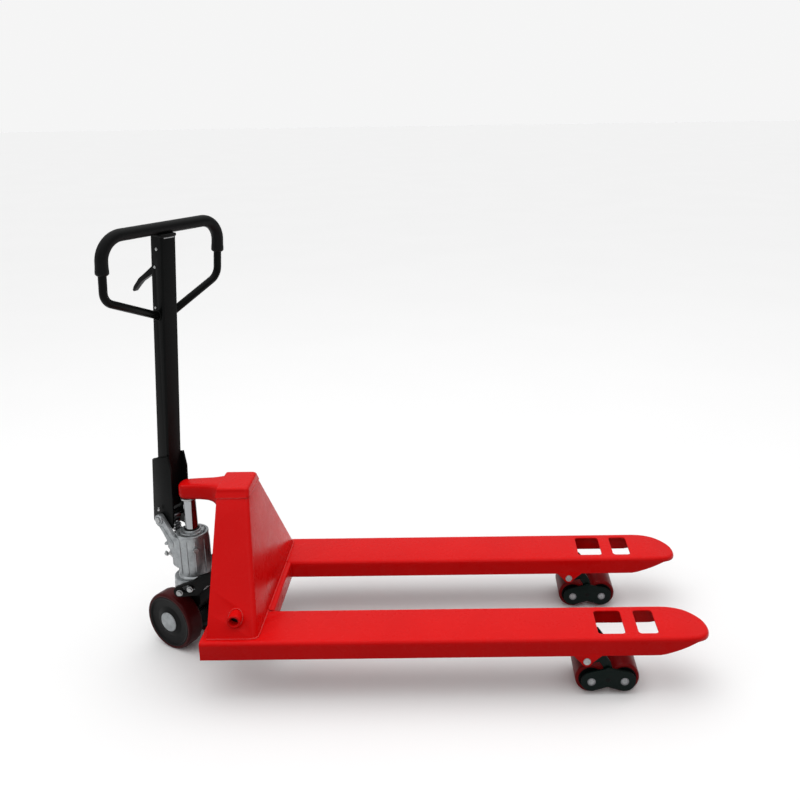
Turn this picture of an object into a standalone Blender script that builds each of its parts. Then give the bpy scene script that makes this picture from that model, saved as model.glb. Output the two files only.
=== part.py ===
"""Hand pallet jack (hand pallet truck), modelled as an assembly.

Metres, +Z up. Forks point along +X, the drawbar end is at -X, +Y is the
operator's left. The floor is Z = 0. Inside this script shapes are laid out in
millimetres in a design frame whose X = 0 is the foot of the load backrest on
the fork tops; ORIGIN_X moves that to the middle of the overall length.
"""
import math

import bmesh
import bpy
from mathutils import Matrix, Vector

MM = 0.001

# ---------------------------------------------------------------- dimensions
ORIGIN_X = 388.1          # design X that becomes row X = 0
FORK_TIP = 1150.0         # fork length in front of the backrest
HEEL_X = -148.0           # rear end of the fork channels
OVERALL_W = 550.0         # across both forks
FORK_W = 150.0
FORK_C = (OVERALL_W - FORK_W) / 2.0
TOP_Z = 168.0             # fork top, raised as at rest
FORK_T = 49.0             # skirt height
SHEET = 4.0
WIN = ((859.0, 928.0), (962.0, 1012.0))   # the two windows over the rollers
WIN_W = 104.0

LIFT_DOWN = 78.5          # travel from rest to the lowest fork height

ARM_X, ARM_Z = 828.0, 104.5      # roller arm pivot
BOG_X, BOG_Z = 884.0, 44.0       # tandem bogie pivot
ROLL_R, ROLL_L = 40.0, 109.0
ROLL_DX = 42.4                   # roller axle, each side of the bogie pivot
ROLL_Z = 40.0
LUG_F = 28.0                     # roller arm's rod lug
LUG_F_ANG = math.radians(60.0)

SHAFT_X, SHAFT_Z = -62.0, 212.0  # torsion shaft
LUG_R = 61.8                     # crank lug on the torsion shaft
LUG_R_ANG = math.radians(13.1)
TRUN_Z = 196.0                   # trunnions of the swivel housing

AX = -228.0               # steering axis
STEER = math.radians(-30.0)
WHEEL_R, WHEEL_W = 83.0, 50.0
WHEEL_X = -43.0           # steer axle, in the steering frame
WHEEL_Y = 51.5
PIV_X, PIV_Z = -78.0, 371.0      # drawbar pivot, in the steering frame
LEAN = math.radians(5.4)         # drawbar leans towards the forks
PUMP_TOP = 334.0
RAM_R = 17.0

GAP = 0.4

# ---------------------------------------------------------------- clear scene
for o in list(bpy.data.objects):
    bpy.data.objects.remove(o)

parts = bpy.data.collections.new("pallet_jack")
cutters = bpy.data.collections.new("cutters")
bpy.context.scene.collection.children.link(parts)
bpy.context.scene.collection.children.link(cutters)


# ---------------------------------------------------------------- materials
def material(name, colour, rough, metal):
    m = bpy.data.materials.new(name)
    m.use_nodes = True
    b = m.node_tree.nodes["Principled BSDF"]
    b.inputs["Base Color"].default_value = (*colour, 1.0)
    b.inputs["Roughness"].default_value = rough
    b.inputs["Metallic"].default_value = metal
    return m


RED = material("red_paint", (0.70, 0.012, 0.012), 0.35, 0.0)
BLACK = material("black_paint", (0.012, 0.012, 0.013), 0.4, 0.0)
SILVER = material("silver_paint", (0.42, 0.44, 0.45), 0.4, 0.6)
CHROME = material("chrome", (0.75, 0.76, 0.77), 0.12, 1.0)
STEEL = material("zinc_steel", (0.5, 0.5, 0.5), 0.35, 0.9)
PU = material("red_polyurethane", (0.42, 0.01, 0.012), 0.5, 0.0)
NYLON = material("black_nylon", (0.01, 0.011, 0.011), 0.5, 0.0)
GRIP = material("black_grip", (0.014, 0.014, 0.015), 0.6, 0.0)
SPRING = material("spring_steel", (0.2, 0.2, 0.21), 0.4, 0.9)


# ---------------------------------------------------------------- helpers
def empty(name, matrix, parent=None):
    e = bpy.data.objects.new(name, None)
    parts.objects.link(e)
    e.parent = parent
    e.matrix_basis = matrix
    return e


ROOT = empty("frame_origin", Matrix.Translation((-ORIGIN_X * MM, 0, 0)))


def place(mesh, name, parent, mat, where=parts):
    o = bpy.data.objects.new(name, mesh)
    where.objects.link(o)
    o.parent = parent or ROOT
    if mat:
        mesh.materials.append(mat)
    if where is cutters:
        o.hide_render = True
        o.display_type = "WIRE"
    return o


def clean(mesh, smooth=True):
    bm = bmesh.new()
    bm.from_mesh(mesh)
    bmesh.ops.remove_doubles(bm, verts=bm.verts, dist=2e-6)
    bmesh.ops.recalc_face_normals(bm, faces=bm.faces)
    bm.to_mesh(mesh)
    bm.free()
    if smooth:
        mesh.shade_smooth()
        mesh.set_sharp_from_angle(angle=math.radians(35))
    return mesh


def axis_matrix(axis):
    """Turns local Z to the named axis."""
    return {
        "Z": Matrix.Identity(4),
        "Y": Matrix.Rotation(math.radians(-90), 4, "X"),
        "X": Matrix.Rotation(math.radians(90), 4, "Y"),
    }[axis]


def box(name, lo, hi, parent=None, mat=None, where=parts, turn=None, bevel=0.0):
    bm = bmesh.new()
    bmesh.ops.create_cube(bm, size=1.0)
    c = [(a + b) / 2 * MM for a, b in zip(lo, hi)]
    s = [abs(b - a) * MM for a, b in zip(lo, hi)]
    bmesh.ops.transform(
        bm, verts=bm.verts, matrix=Matrix.Translation(c) @ Matrix.Diagonal((*s, 1))
    )
    if bevel:
        bmesh.ops.bevel(
            bm, geom=list(bm.edges), offset=bevel * MM, segments=1,
            affect="EDGES", profile=0.5,
        )
    if turn is not None:
        bmesh.ops.transform(bm, verts=bm.verts, matrix=turn)
    me = bpy.data.meshes.new(name)
    bm.to_mesh(me)
    bm.free()
    return place(clean(me), name, parent, mat, where)


def cyl(name, r, a, b, at, axis="Y", parent=None, mat=None, where=parts, seg=28, r2=None):
    """A cylinder from a to b along axis, at the other two coordinates."""
    bm = bmesh.new()
    bmesh.ops.create_cone(
        bm, cap_ends=True, segments=seg, radius1=r * MM,
        radius2=(r if r2 is None else r2) * MM, depth=abs(b - a) * MM,
    )
    mid = (a + b) / 2
    where_at = {
        "Y": (at[0], mid, at[1]), "X": (mid, at[0], at[1]), "Z": (at[0], at[1], mid),
    }[axis]
    bmesh.ops.transform(
        bm, verts=bm.verts,
        matrix=Matrix.Translation([v * MM for v in where_at]) @ axis_matrix(axis),
    )
    me = bpy.data.meshes.new(name)
    bm.to_mesh(me)
    bm.free()
    return place(clean(me), name, parent, mat, where)


def ring(name, profile, at, axis="Y", parent=None, mat=None, where=parts, steps=32):
    """A turned piece: profile is [(radius, along axis), ...], closed round the wall."""
    me = bpy.data.meshes.new(name)
    n = len(profile)
    me.from_pydata(
        [(r * MM, 0, h * MM) for r, h in profile], [(i, (i + 1) % n) for i in range(n)], []
    )
    tmp = bpy.data.objects.new(name + "_profile", me)
    cutters.objects.link(tmp)
    s = tmp.modifiers.new("Screw", "SCREW")
    s.steps = s.render_steps = steps
    s.use_merge_vertices = True
    s.merge_threshold = 0.00001
    bpy.context.view_layer.update()
    made = bpy.data.meshes.new_from_object(
        tmp.evaluated_get(bpy.context.evaluated_depsgraph_get())
    )
    made.name = name
    bpy.data.objects.remove(tmp)
    at3 = {"Y": (at[0], 0, at[1]), "Z": (at[0], at[1], 0), "X": (0, at[0], at[1])}[axis]
    made.transform(Matrix.Translation([v * MM for v in at3]) @ axis_matrix(axis))
    made.materials.clear()
    return place(clean(made), name, parent, mat, where)


def arc(cx, cz, r, a0, a1, n=8):
    """Points on a circle from angle a0 to a1, in degrees."""
    return [
        (cx + r * math.cos(math.radians(a0 + (a1 - a0) * i / n)),
         cz + r * math.sin(math.radians(a0 + (a1 - a0) * i / n)))
        for i in range(n + 1)
    ]


def circle(cx, cz, r, n=20):
    return arc(cx, cz, r, 0, 360 * (n - 1) / n, n - 1)


def slot(cx, cz, r, half, n=8):
    """An upright slotted hole: radius r, each end half away from the centre."""
    return arc(cx, cz + half, r, 0, 180, n) + arc(cx, cz - half, r, 180, 360, n)


def rounded(x0, x1, y0, y1, r, n=4):
    return (arc(x1 - r, y1 - r, r, 0, 90, n) + arc(x0 + r, y1 - r, r, 90, 180, n)
            + arc(x0 + r, y0 + r, r, 180, 270, n) + arc(x1 - r, y0 + r, r, 270, 360, n))


def plate(name, loops, a, b, axis="Y", parent=None, mat=None, where=parts):
    """A flat outline with holes, drawn as a filled 2D curve, from a to b along axis.
    Outline coordinates are (x, z) for axis Y, (x, y) for axis Z, (y, z) for axis X."""
    cu = bpy.data.curves.new(name, "CURVE")
    cu.dimensions = "2D"
    cu.fill_mode = "BOTH"
    cu.extrude = abs(b - a) / 2 * MM
    for pts in loops:
        sp = cu.splines.new("POLY")
        sp.points.add(len(pts) - 1)
        for p, (x, y) in zip(sp.points, pts):
            p.co = (x * MM, y * MM, 0, 1)
        sp.use_cyclic_u = True
    tmp = bpy.data.objects.new(name + "_outline", cu)
    cutters.objects.link(tmp)
    bpy.context.view_layer.update()
    me = bpy.data.meshes.new_from_object(
        tmp.evaluated_get(bpy.context.evaluated_depsgraph_get())
    )
    me.name = name
    bpy.data.objects.remove(tmp)
    mid = (a + b) / 2 * MM
    if axis == "Y":
        turn = Matrix(((1, 0, 0, 0), (0, 0, -1, mid), (0, 1, 0, 0), (0, 0, 0, 1)))
    elif axis == "X":
        turn = Matrix(((0, 0, 1, mid), (1, 0, 0, 0), (0, 1, 0, 0), (0, 0, 0, 1)))
    else:
        turn = Matrix.Translation((0, 0, mid))
    me.transform(turn)
    me.materials.clear()
    return place(clean(me), name, parent, mat, where)


def boolean(obj, other, kind):
    m = obj.modifiers.new(kind.lower(), "BOOLEAN")
    m.operation = kind
    m.object = other
    m.solver = "EXACT"
    if other.name not in cutters.objects:
        parts.objects.unlink(other)
        cutters.objects.link(other)
    other.hide_render = True
    other.display_type = "WIRE"
    return obj


def cut(obj, *others):
    for o in others:
        boolean(obj, o, "DIFFERENCE")
    return obj


def join(obj, *others):
    for o in others:
        boolean(obj, o, "UNION")
    return obj


def wire(name, pts, r, parent=None, mat=None, where=parts, res=2, cyclic=False, turn=None):
    """A round bar or coil along pts."""
    cu = bpy.data.curves.new(name, "CURVE")
    cu.dimensions = "3D"
    cu.bevel_depth = r * MM
    cu.bevel_resolution = res
    cu.use_fill_caps = True
    sp = cu.splines.new("POLY")
    sp.points.add(len(pts) - 1)
    for p, co in zip(sp.points, pts):
        p.co = (*[v * MM for v in co], 1)
    sp.use_cyclic_u = cyclic
    tmp = bpy.data.objects.new(name + "_path", cu)
    cutters.objects.link(tmp)
    bpy.context.view_layer.update()
    me = bpy.data.meshes.new_from_object(
        tmp.evaluated_get(bpy.context.evaluated_depsgraph_get())
    )
    me.name = name
    bpy.data.objects.remove(tmp)
    if turn is not None:
        me.transform(turn)
    me.materials.clear()
    return place(clean(me), name, parent, mat, where)


C = cutters
SIDES = (("right", -1.0), ("left", 1.0))


# ---------------------------------------------------------------- forks
def nose(half, tip, start, n=14):
    """Plan of a fork: parallel sides, then a rounded nose. Half-width and tip as given."""
    pts = []
    for i in range(n + 1):
        t = math.pi / 2 * (1 - 2 * i / n)
        pts.append((start + (tip - start) * abs(math.cos(t)) ** 0.85,
                    half * math.copysign(abs(math.sin(t)) ** 0.9, math.sin(t))))
    return [(HEEL_X, half)] + pts + [(HEEL_X, -half)]


def fork(side, s):
    yc = s * FORK_C
    h = FORK_W / 2
    zb = TOP_Z - FORK_T
    name = "fork_" + side

    def solid(tag, inset, drop, below):
        plan = [(x, yc + y) for x, y in nose(h - inset, FORK_TIP - inset, 1036.0)]
        if inset:
            plan = [(x - (20.0 if x == HEEL_X else 0.0), y) for x, y in plan]
        body = plate(name + tag, [plan], below, TOP_Z + 10, "Z", where=C)
        e = 30.0 if inset else 0.0
        side_view = [(HEEL_X - e - 5, TOP_Z - drop), (1046, TOP_Z - drop),
                     (1100, TOP_Z - 5 - drop), (FORK_TIP + 5, TOP_Z - 15.5 - drop)]
        if inset:
            side_view += [(FORK_TIP + 5, zb - 40), (HEEL_X - e - 5, zb - 40)]
        else:
            side_view += [(FORK_TIP + 5, TOP_Z - 33), (1100, zb + 25),
                          (1018, zb), (HEEL_X - 5, zb)]
        prof = plate(name + tag + "_side", [side_view], yc - 90, yc + 90, "Y", where=C)
        boolean(body, prof, "INTERSECT")
        r = 8.0 - inset * 0.75
        w = h - inset
        sec = ([(yc + w, TOP_Z - drop - r)]
               + arc(yc + w - r, TOP_Z - drop - r, r, 0, 90, 3)[1:]
               + arc(yc - w + r, TOP_Z - drop - r, r, 90, 180, 3)
               + [(yc - w, below), (yc + w, below)])
        sect = plate(name + tag + "_section", [sec], HEEL_X - 60, FORK_TIP + 20, "X", where=C)
        boolean(body, sect, "INTERSECT")
        return body

    outer = solid("", 0.0, 0.0, zb - 5)
    inner = solid("_inside", SHEET, SHEET, zb - 45)
    cutters.objects.unlink(outer)
    parts.objects.link(outer)
    outer.hide_render = False
    outer.display_type = "TEXTURED"
    outer.data.materials.append(RED)
    boolean(outer, inner, "DIFFERENCE")
    for i, (x0, x1) in enumerate(WIN):
        w = plate(f"{name}_window{i}", [rounded(x0, x1, yc - WIN_W / 2, yc + WIN_W / 2, 9)],
                  TOP_Z - 20, TOP_Z + 20, "Z", where=C)
        cut(outer, w)
    # under the mast the top is a touch lower, so the load face starts at the backrest
    cut(outer, box(name + "_heel_relief", (HEEL_X - 20, yc - 90, TOP_Z - 0.6), (0, yc + 90, TOP_Z + 20), where=C))
    # slot for the crank lug, inside the mast
    cut(outer, box(name + "_lug_slot", (-92, yc - 17, TOP_Z - 20), (-24, yc + 17, TOP_Z + 20), where=C))
    # two pivot ears under the skirts
    for tag, ya, yb in (("o", h - SHEET, h), ("i", -h, -h + SHEET)):
        ys = sorted((yc + s * ya, yc + s * yb))
        ear = ([(792, zb + 6), (792, zb - 0.5), (805, zb - 8)] + arc(ARM_X, ARM_Z, 16.5, 215, 325, 7)
               + [(851, zb - 8), (866, zb - 0.5), (866, zb + 6)])
        join(outer, plate(f"{name}_ear_{tag}", [ear], ys[0], ys[1], "Y", where=C))
    cut(outer, cyl(name + "_bolt_hole", 6.4, yc - 90, yc + 90, (ARM_X, ARM_Z), where=C, seg=20))
    return outer


for side, s in SIDES:
    fork(side, s)

# cross plate between the fork heels: a top plate folded down at its front
zt, zb = TOP_Z, TOP_Z - FORK_T
plate("base_plate", [[(-74, zt), (-74, zt - 5), (7, zt - 5), (7, zb), (12, zb), (12, zt - 4), (8, zt)]],
      -(FORK_C - FORK_W / 2 - GAP), FORK_C - FORK_W / 2 - GAP, "Y", mat=RED)


# ---------------------------------------------------------------- mast and head
def mast_shell():
    """Folded sheet: a sloping front panel and two sides, narrower at the top, open behind."""
    z0, z1 = TOP_Z + GAP, 480.0
    corners = {  # (front?, right?, top?): position
        (0, -1, 0): (-132, -258, z0), (1, -1, 0): (-4, -258, z0),
        (0, -1, 1): (-134, -56, z1), (1, -1, 1): (-52, -56, z1),
    }
    bm = bmesh.new()
    bmesh.ops.create_cube(bm, size=2.0)
    for v in bm.verts:
        f, r, t = int(v.co.x > 0), -1 if v.co.y < 0 else 1, int(v.co.z > 0)
        x, y, z = corners[(f, -1, t)]
        v.co = (x * MM, -r * y * MM, z * MM)
    bm.normal_update()
    drop = [f for f in bm.faces if abs(f.normal.z) > 0.9 or f.normal.x < -0.9]
    bmesh.ops.delete(bm, geom=drop, context="FACES_ONLY")
    me = bpy.data.meshes.new("mast_shell")
    bm.to_mesh(me)
    bm.free()
    o = place(me, "mast_shell", None, RED)
    so = o.modifiers.new("Solidify", "SOLIDIFY")
    so.thickness = 5 * MM
    so.offset = -1
    so.use_even_offset = True
    return o


mast = mast_shell()
# the shell's foot is cut level with the fork tops, and its top level with the head
cut(mast, box("mast_foot_cut", (-300, -400, 100), (200, 400, TOP_Z + GAP), where=C),
    box("mast_top_cut", (-300, -400, 479.5), (200, 400, 560), where=C),
    cyl("mast_bush_hole", 17.9, -300, 300, (SHAFT_X, SHAFT_Z), where=C, seg=28))

head_plan = ([(-50, 57)] + [(-50, -57), (-132, -57), (-158, -30)]
             + [(AX, -24)] + arc(AX, 0, 24, 270, 90, 12)[1:-1] + [(AX, 24)]
             + [(-158, 30), (-132, 57)])
head = plate("head_cap", [head_plan], 480.0, 487.5, "Z", mat=RED)
arm_plan = [(-126, -40), (-158, -29.5), (AX, -23.5)] + arc(AX, 0, 23.5, 270, 90, 12)[1:-1] + [(AX, 23.5), (-158, 29.5), (-126, 40)]
join(head, plate("head_arm", [arm_plan], 440.0, 483.0, "Z", where=C))
hollow = [(-120, -34), (-160, -23.5), (-192, -20), (-192, 20), (-160, 23.5), (-120, 34)]
cut(head, plate("head_hollow", [hollow], 430.0, 479.0, "Z", where=C))
cut(head, cyl("head_seat_hole", 14.4, 430, 466, (AX, 0), "Z", where=C))

# bushes that carry the torsion shaft, welded in the mast's sides
for side, s in SIDES:
    ring("shaft_bush_" + side, [(17.5, s * 210), (17.5, s * 252), (11.4, s * 252), (11.4, s * 210)],
         (SHAFT_X, SHAFT_Z), "Y", mat=RED, steps=28)

# shoulder bolts of the roller arms: one each side of each fork
ARM_IN = 56.0
for side, s in SIDES:
    yc = s * FORK_C
    for tag, q in (("outer", s), ("inner", -s)):
        b = cyl(f"arm_bolt_{side}_{tag}", 6.0, yc + q * 55.0, yc + q * 75.6, (ARM_X, ARM_Z), mat=STEEL, seg=20)
        join(b, cyl(f"arm_bolt_{side}_{tag}_head", 9.0, yc + q * 75.4, yc + q * 78.5,
                    (ARM_X, ARM_Z), where=C, seg=6))

# ram, chromed, with its seat in the head
ram = cyl("ram_rod", RAM_R, 178.0, 439.5, (AX, 0), "Z", mat=CHROME, seg=28)
join(ram, cyl("ram_spigot", 14.0, 430.0, 465.0, (AX, 0), "Z", where=C, seg=28))

# ---------------------------------------------------------------- crank (torsion shaft and rocker)
CRANK = empty("crank_axis", Matrix.Translation((SHAFT_X * MM, 0, SHAFT_Z * MM)), ROOT)


def rel(px, pz, pts):
    return [(x - px, z - pz) for x, z in pts]


cyl("torsion_shaft", 11.0, -232, 232, (0, 0), parent=CRANK, mat=STEEL, seg=24)
arm_side = ([(AX + 6, TRUN_Z + 21)] + arc(AX - 30, 187, 16, 100, 265, 8) + [(AX + 20, TRUN_Z - 20), (AX + 46, TRUN_Z + 8)]
            + [(-128, 214), (-100, 209)] + arc(SHAFT_X, SHAFT_Z, 25, 215, 450, 10)
            + [(-100, 243), (-150, 247), (-196, 234)])
arm_side = rel(SHAFT_X, SHAFT_Z, arm_side)
tx, tz = AX - SHAFT_X, TRUN_Z - SHAFT_Z
# the trunnion slides outwards in its slot as the forks come down
tr_slot = arc(tx + 2, tz, 10.4, 270, 450, 8) + arc(tx - 12.8, tz - 1, 10.4, 90, 270, 8)
rock = None
for q in (-1, 1):
    p = plate(f"rocker_cheek{q}", [arm_side, circle(0, 0, 12.5, 12)], *sorted((q * 53.0, q * 63.0)), "Y",
              parent=CRANK, where=C)
    if rock is None:
        rock = place(p.data.copy(), "rocker_arm", CRANK, BLACK)
    else:
        join(rock, p)
hub = ring("rocker_hub", [(24.0, -66), (24.0, 66), (11.3, 66), (11.3, -66)], (0, 0), "Y", parent=CRANK, where=C, steps=20)
join(rock, hub)
join(rock, plate("rocker_web", [[(-58, 8), (-58, 20), (-14, 22), (-14, 10)]], -56, 56, "Y", parent=CRANK, where=C))
for q in (-1, 1):
    cut(rock, plate(f"rocker_slot{q}", [tr_slot], *sorted((q * 45.0, q * 70.0)), "Y", parent=CRANK, where=C))

PIN_X = SHAFT_X + LUG_R * math.sin(LUG_R_ANG)
PIN_Z = SHAFT_Z - LUG_R * math.cos(LUG_R_ANG)
for side, s in SIDES:
    y0, y1 = s * (FORK_C - 13.0), s * (FORK_C - 3.0)
    a = -90 + math.degrees(LUG_R_ANG)
    px, pz = PIN_X - SHAFT_X, PIN_Z - SHAFT_Z
    out = arc(px, pz, 12.5, a - 90, a + 90, 8) + arc(0, 0, 22, a + 90, a + 270, 10)
    lug = plate("crank_lug_" + side, [out, circle(0, 0, 11.3, 24)], *sorted((y0, y1)), "Y", parent=CRANK, mat=BLACK)
    join(lug, cyl(f"crank_pin_{side}", 7.0, s * (FORK_C - 12.0), s * (FORK_C + 13.5), (px, pz), parent=CRANK, where=C, seg=20))

# ---------------------------------------------------------------- push rods
FX = ARM_X + LUG_F * math.cos(LUG_F_ANG)
FZ = ARM_Z + LUG_F * math.sin(LUG_F_ANG)
slope = math.degrees(math.atan2(FZ - PIN_Z, FX - PIN_X))
for side, s in SIDES:
    ya, yb = s * (FORK_C - 2.4), s * (FORK_C + 9.6)
    d = math.radians(slope)
    nx, nz = -math.sin(d), math.cos(d)
    half = 9.5
    x1, z1, x2, z2 = PIN_X + 24, PIN_Z + 24 * math.tan(d), FX - 24, FZ - 24 * math.tan(d)
    out = (arc(PIN_X, PIN_Z, 13.5, slope + 45, slope + 315, 10)
           + [(x1 - nx * half, z1 - nz * half), (x2 - nx * half, z2 - nz * half)]
           + slot(FX, FZ, 11.3, 4.0, 6)[10:] + slot(FX, FZ, 11.3, 4.0, 6)[:4]
           + [(x2 + nx * half, z2 + nz * half), (x1 + nx * half, z1 + nz * half)])
    plate("push_rod_" + side, [out, slot(PIN_X, PIN_Z, 7.5, 2.2, 6), slot(FX, FZ, 7.5, 4.0, 6)],
          *sorted((ya, yb)), "Y", mat=BLACK)

# ---------------------------------------------------------------- roller arms, bogies and rollers
for side, s in SIDES:
    yc = s * FORK_C
    ARM = empty("arm_axis_" + side, Matrix.Translation((ARM_X * MM, 0, ARM_Z * MM)), ROOT)
    bx, bz = BOG_X - ARM_X, BOG_Z - ARM_Z
    ang = math.degrees(math.atan2(bz, bx))
    fx, fz = FX - ARM_X, FZ - ARM_Z
    out = (arc(bx, bz, 12.5, 180, 380, 8) + [(69, -36), (62, -12), (48, 8), (fx + 11.5, fz - 4)]
           + arc(fx, fz, 11.5, -20, 160, 8) + arc(0, 0, 13.5, 150, 270, 6) + [(20, -13.5), (34, -12), (43.5, -27), (45, -46)])
    arm = None
    for q in (-1, 1):
        p = plate(f"arm_cheek_{side}{q}", [out, circle(0, 0, 6.4, 16), circle(bx, bz, 7.4, 16)],
                  *sorted((yc + q * ARM_IN, yc + q * 61.5)), "Y", parent=ARM, where=C)
        if arm is None:
            arm = place(p.data.copy(), "roller_arm_" + side, ARM, BLACK)
        else:
            join(arm, p)
    join(arm, cyl(f"arm_rod_pin_{side}", 7.0, yc - 58, yc + 58, (fx, fz), parent=ARM, where=C, seg=12))

    BOG = empty("bogie_axis_" + side, Matrix.Translation((BOG_X * MM, 0, BOG_Z * MM)), ROOT)
    rz = ROLL_Z - BOG_Z
    for tag, q in (("outer", s), ("inner", -s)):
        g = (arc(-ROLL_DX, rz, 27.0, 112, 292, 12) + [(0, rz - 15.5)]
             + arc(ROLL_DX, rz, 28.5, 248, 428, 12) + arc(0, 25, 10.5, 40, 140, 5))
        bp = plate(f"bogie_plate_{side}_{tag}", [g, circle(-ROLL_DX, rz, 8.4, 16), circle(ROLL_DX, rz, 8.4, 16)],
                   *sorted((yc + q * 62.5, yc + q * 68.5)), "Y", parent=BOG, mat=BLACK)
        join(bp, cyl(f"bogie_stub_{side}_{tag}", 7.0, yc + q * 56.5, yc + q * 64.0, (0, 0), parent=BOG, where=C, seg=20))
    for tag, dx in (("rear", -ROLL_DX), ("front", ROLL_DX)):
        cyl(f"roller_axle_{side}_{tag}", 8.0, yc - 70.2, yc + 70.2, (dx, rz), parent=BOG, mat=STEEL, seg=16)
        R = empty(f"roller_axis_{side}_{tag}", Matrix.Translation(((BOG_X + dx) * MM, 0, ROLL_Z * MM)), ROOT)
        hl = ROLL_L / 2
        ring(f"roller_tyre_{side}_{tag}",
             [(37.5, yc + hl), (40, yc + hl - 3), (40, yc - hl + 3), (37.5, yc - hl), (31.4, yc - hl), (31.4, yc + hl)],
             (0, 0), "Y", parent=R, mat=PU, steps=24)
        ring(f"roller_core_{side}_{tag}",
             [(31.0, yc + hl), (31.0, yc - hl), (8.4, yc - hl), (8.4, yc + hl)],
             (0, 0), "Y", parent=R, mat=NYLON, steps=24)

# ---------------------------------------------------------------- swivel housing (thrust bearing carrier)
CAR = empty("steer_axis_fixed", Matrix.Translation((AX * MM, 0, 0)), ROOT)
hous = ring("swivel_housing", [(46, 209), (48, 205), (48, 184), (44, 176), (32.6, 176), (32.6, 209)],
            (0, 0), "Z", parent=CAR, mat=SILVER, steps=24)
join(hous, cyl("trunnion_pins_r", 8.0, -66, -40, (0, TRUN_Z), parent=CAR, where=C, seg=20),
     cyl("trunnion_pins_l", 8.0, 40, 66, (0, TRUN_Z), parent=CAR, where=C, seg=20))

# ---------------------------------------------------------------- pump, in the steering frame
ST = empty("steer_axis", Matrix.Translation((AX * MM, 0, 0)) @ Matrix.Rotation(STEER, 4, "Z"), ROOT)

pump = cyl("pump_body", 43.0, 210.0, PUMP_TOP, (0, 0), "Z", parent=ST, mat=SILVER, seg=32)
join(pump, cyl("pump_neck", 32.0, 168.0, 216.0, (0, 0), "Z", parent=ST, where=C, seg=32))
join(pump, plate("pump_block", [[(0, -43), (0, 43), (-24, 43), (-62, 34), (-70, 24), (-70, -24), (-62, -34), (-24, -43)]],
                 240.0, 322.0, "Z", parent=ST, where=C))
ear = ([(-8, 329), (-30, 334)] + arc(PIV_X, PIV_Z, 14.5, 40, 196, 10)
       + [(-94, 334), (-92, 306), (-78, 300), (-70, 262), (-48, 246), (-20, 246), (-8, 262)])
ear_eye = [(-84, 350), (-84, 318), (-74, 312), (-64, 322), (-62, 336), (-70, 350)]
for q in (-1, 1):
    e = plate(f"pump_ear{q}", [ear, ear_eye], *sorted((q * 32.5, q * 43.0)), "Y", parent=ST, where=C)
    join(pump, e)
join(pump, box("release_lug", (-87, -5, 279), (-60, 5, 297), parent=ST, where=C))
cut(pump,
    cyl("pump_bore", 18.6, 150.0, PUMP_TOP + 5, (0, 0), "Z", parent=ST, where=C, seg=28),
    cyl("plunger_bore", 8.8, 250.0, 330, (-58, 0), "Z", parent=ST, where=C, seg=20),
    box("plunger_clearance", (-90, -24, 303), (-43.6, 24, 350), parent=ST, where=C),
    cyl("handle_pin_hole", 8.4, -60, 60, (PIV_X, PIV_Z), parent=ST, where=C, seg=24))
join(pump, cyl("release_pin", 3.0, -11, 11, (-81, 288), parent=ST, where=C, seg=12))

ring("gland_nut", [(31, 342), (33, 340), (33, PUMP_TOP + GAP), (17.6, PUMP_TOP + GAP), (17.6, 342)],
     (0, 0), "Z", parent=ST, mat=STEEL, steps=32)
plug = cyl("filler_plug", 8.0, 29.0, 37.0, (0, 0), "X", parent=ST, mat=STEEL, seg=6)
plug.data.transform(Matrix.Rotation(math.radians(-35), 4, "Z") @ Matrix.Translation((14.4 * MM, 0, 300 * MM)))

# axle block under the neck: carries the steer axle between the wheels
blk = plate("axle_block", [arc(WHEEL_X, WHEEL_R, 25, 130, 320, 10) + [(18, 112), (31, 136), (31, 167.6), (-40, 167.6), (-52, 124)]],
            -23, 23, "Y", parent=ST, mat=BLACK)
cut(blk, cyl("axle_block_bore", 18.6, 96.0, 180, (0, 0), "Z", parent=ST, where=C, seg=28))
cut(blk, cyl("axle_hole", 10.4, -40, 40, (WHEEL_X, WHEEL_R), parent=ST, where=C, seg=24))
cyl("steer_axle", 10.0, -72, 72, (WHEEL_X, WHEEL_R), parent=ST, mat=STEEL, seg=24)
for side, s in SIDES:
    y0, y1 = WHEEL_Y - WHEEL_W / 2, WHEEL_Y + WHEEL_W / 2
    W = empty("steer_wheel_axis_" + side, Matrix.Translation((WHEEL_X * MM, 0, WHEEL_R * MM)), ST)
    ring("steer_tyre_" + side, [(80, s * y1), (83, s * (y1 - 3)), (83, s * (y0 + 3)), (80, s * y0), (73.4, s * y0), (73.4, s * y1)],
         (0, 0), "Y", parent=W, mat=PU, steps=28)
    ring("steer_hub_" + side, [(73, s * (y1 - 0.5)), (73, s * (y0 + 0.5)), (10.4, s * (y0 + 0.5)), (10.4, s * (y1 - 8)), (28.5, s * (y1 - 8)), (28.5, s * (y1 - 0.5))],
         (0, 0), "Y", parent=W, mat=NYLON, steps=28)
    cyl("hub_cap_" + side, 27.5, s * (y1 - 4.1), s * (y1 + 1.2), (0, 0), parent=W, mat=SILVER, seg=28)

# pump plunger and its return spring
cylp = cyl("pump_plunger", 8.4, 256.0, 355.0, (-58, 0), "Z", parent=ST, mat=CHROME, seg=20)
join(cylp, cyl("plunger_head", 11.2, 353.5, 359.6, (-58, 0), "Z", parent=ST, where=C, seg=24))
turns, free = 5.0, (305.2, 351.6)
coil = []
for i in range(int(turns * 10) + 1):
    t = i / (turns * 10)
    a = 2 * math.pi * turns * t
    coil.append((-58 + 10.3 * math.cos(a), 10.3 * math.sin(a), free[0] + (free[1] - free[0]) * t))
wire("plunger_spring", coil, 1.3, parent=ST, mat=SPRING, res=0)

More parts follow.
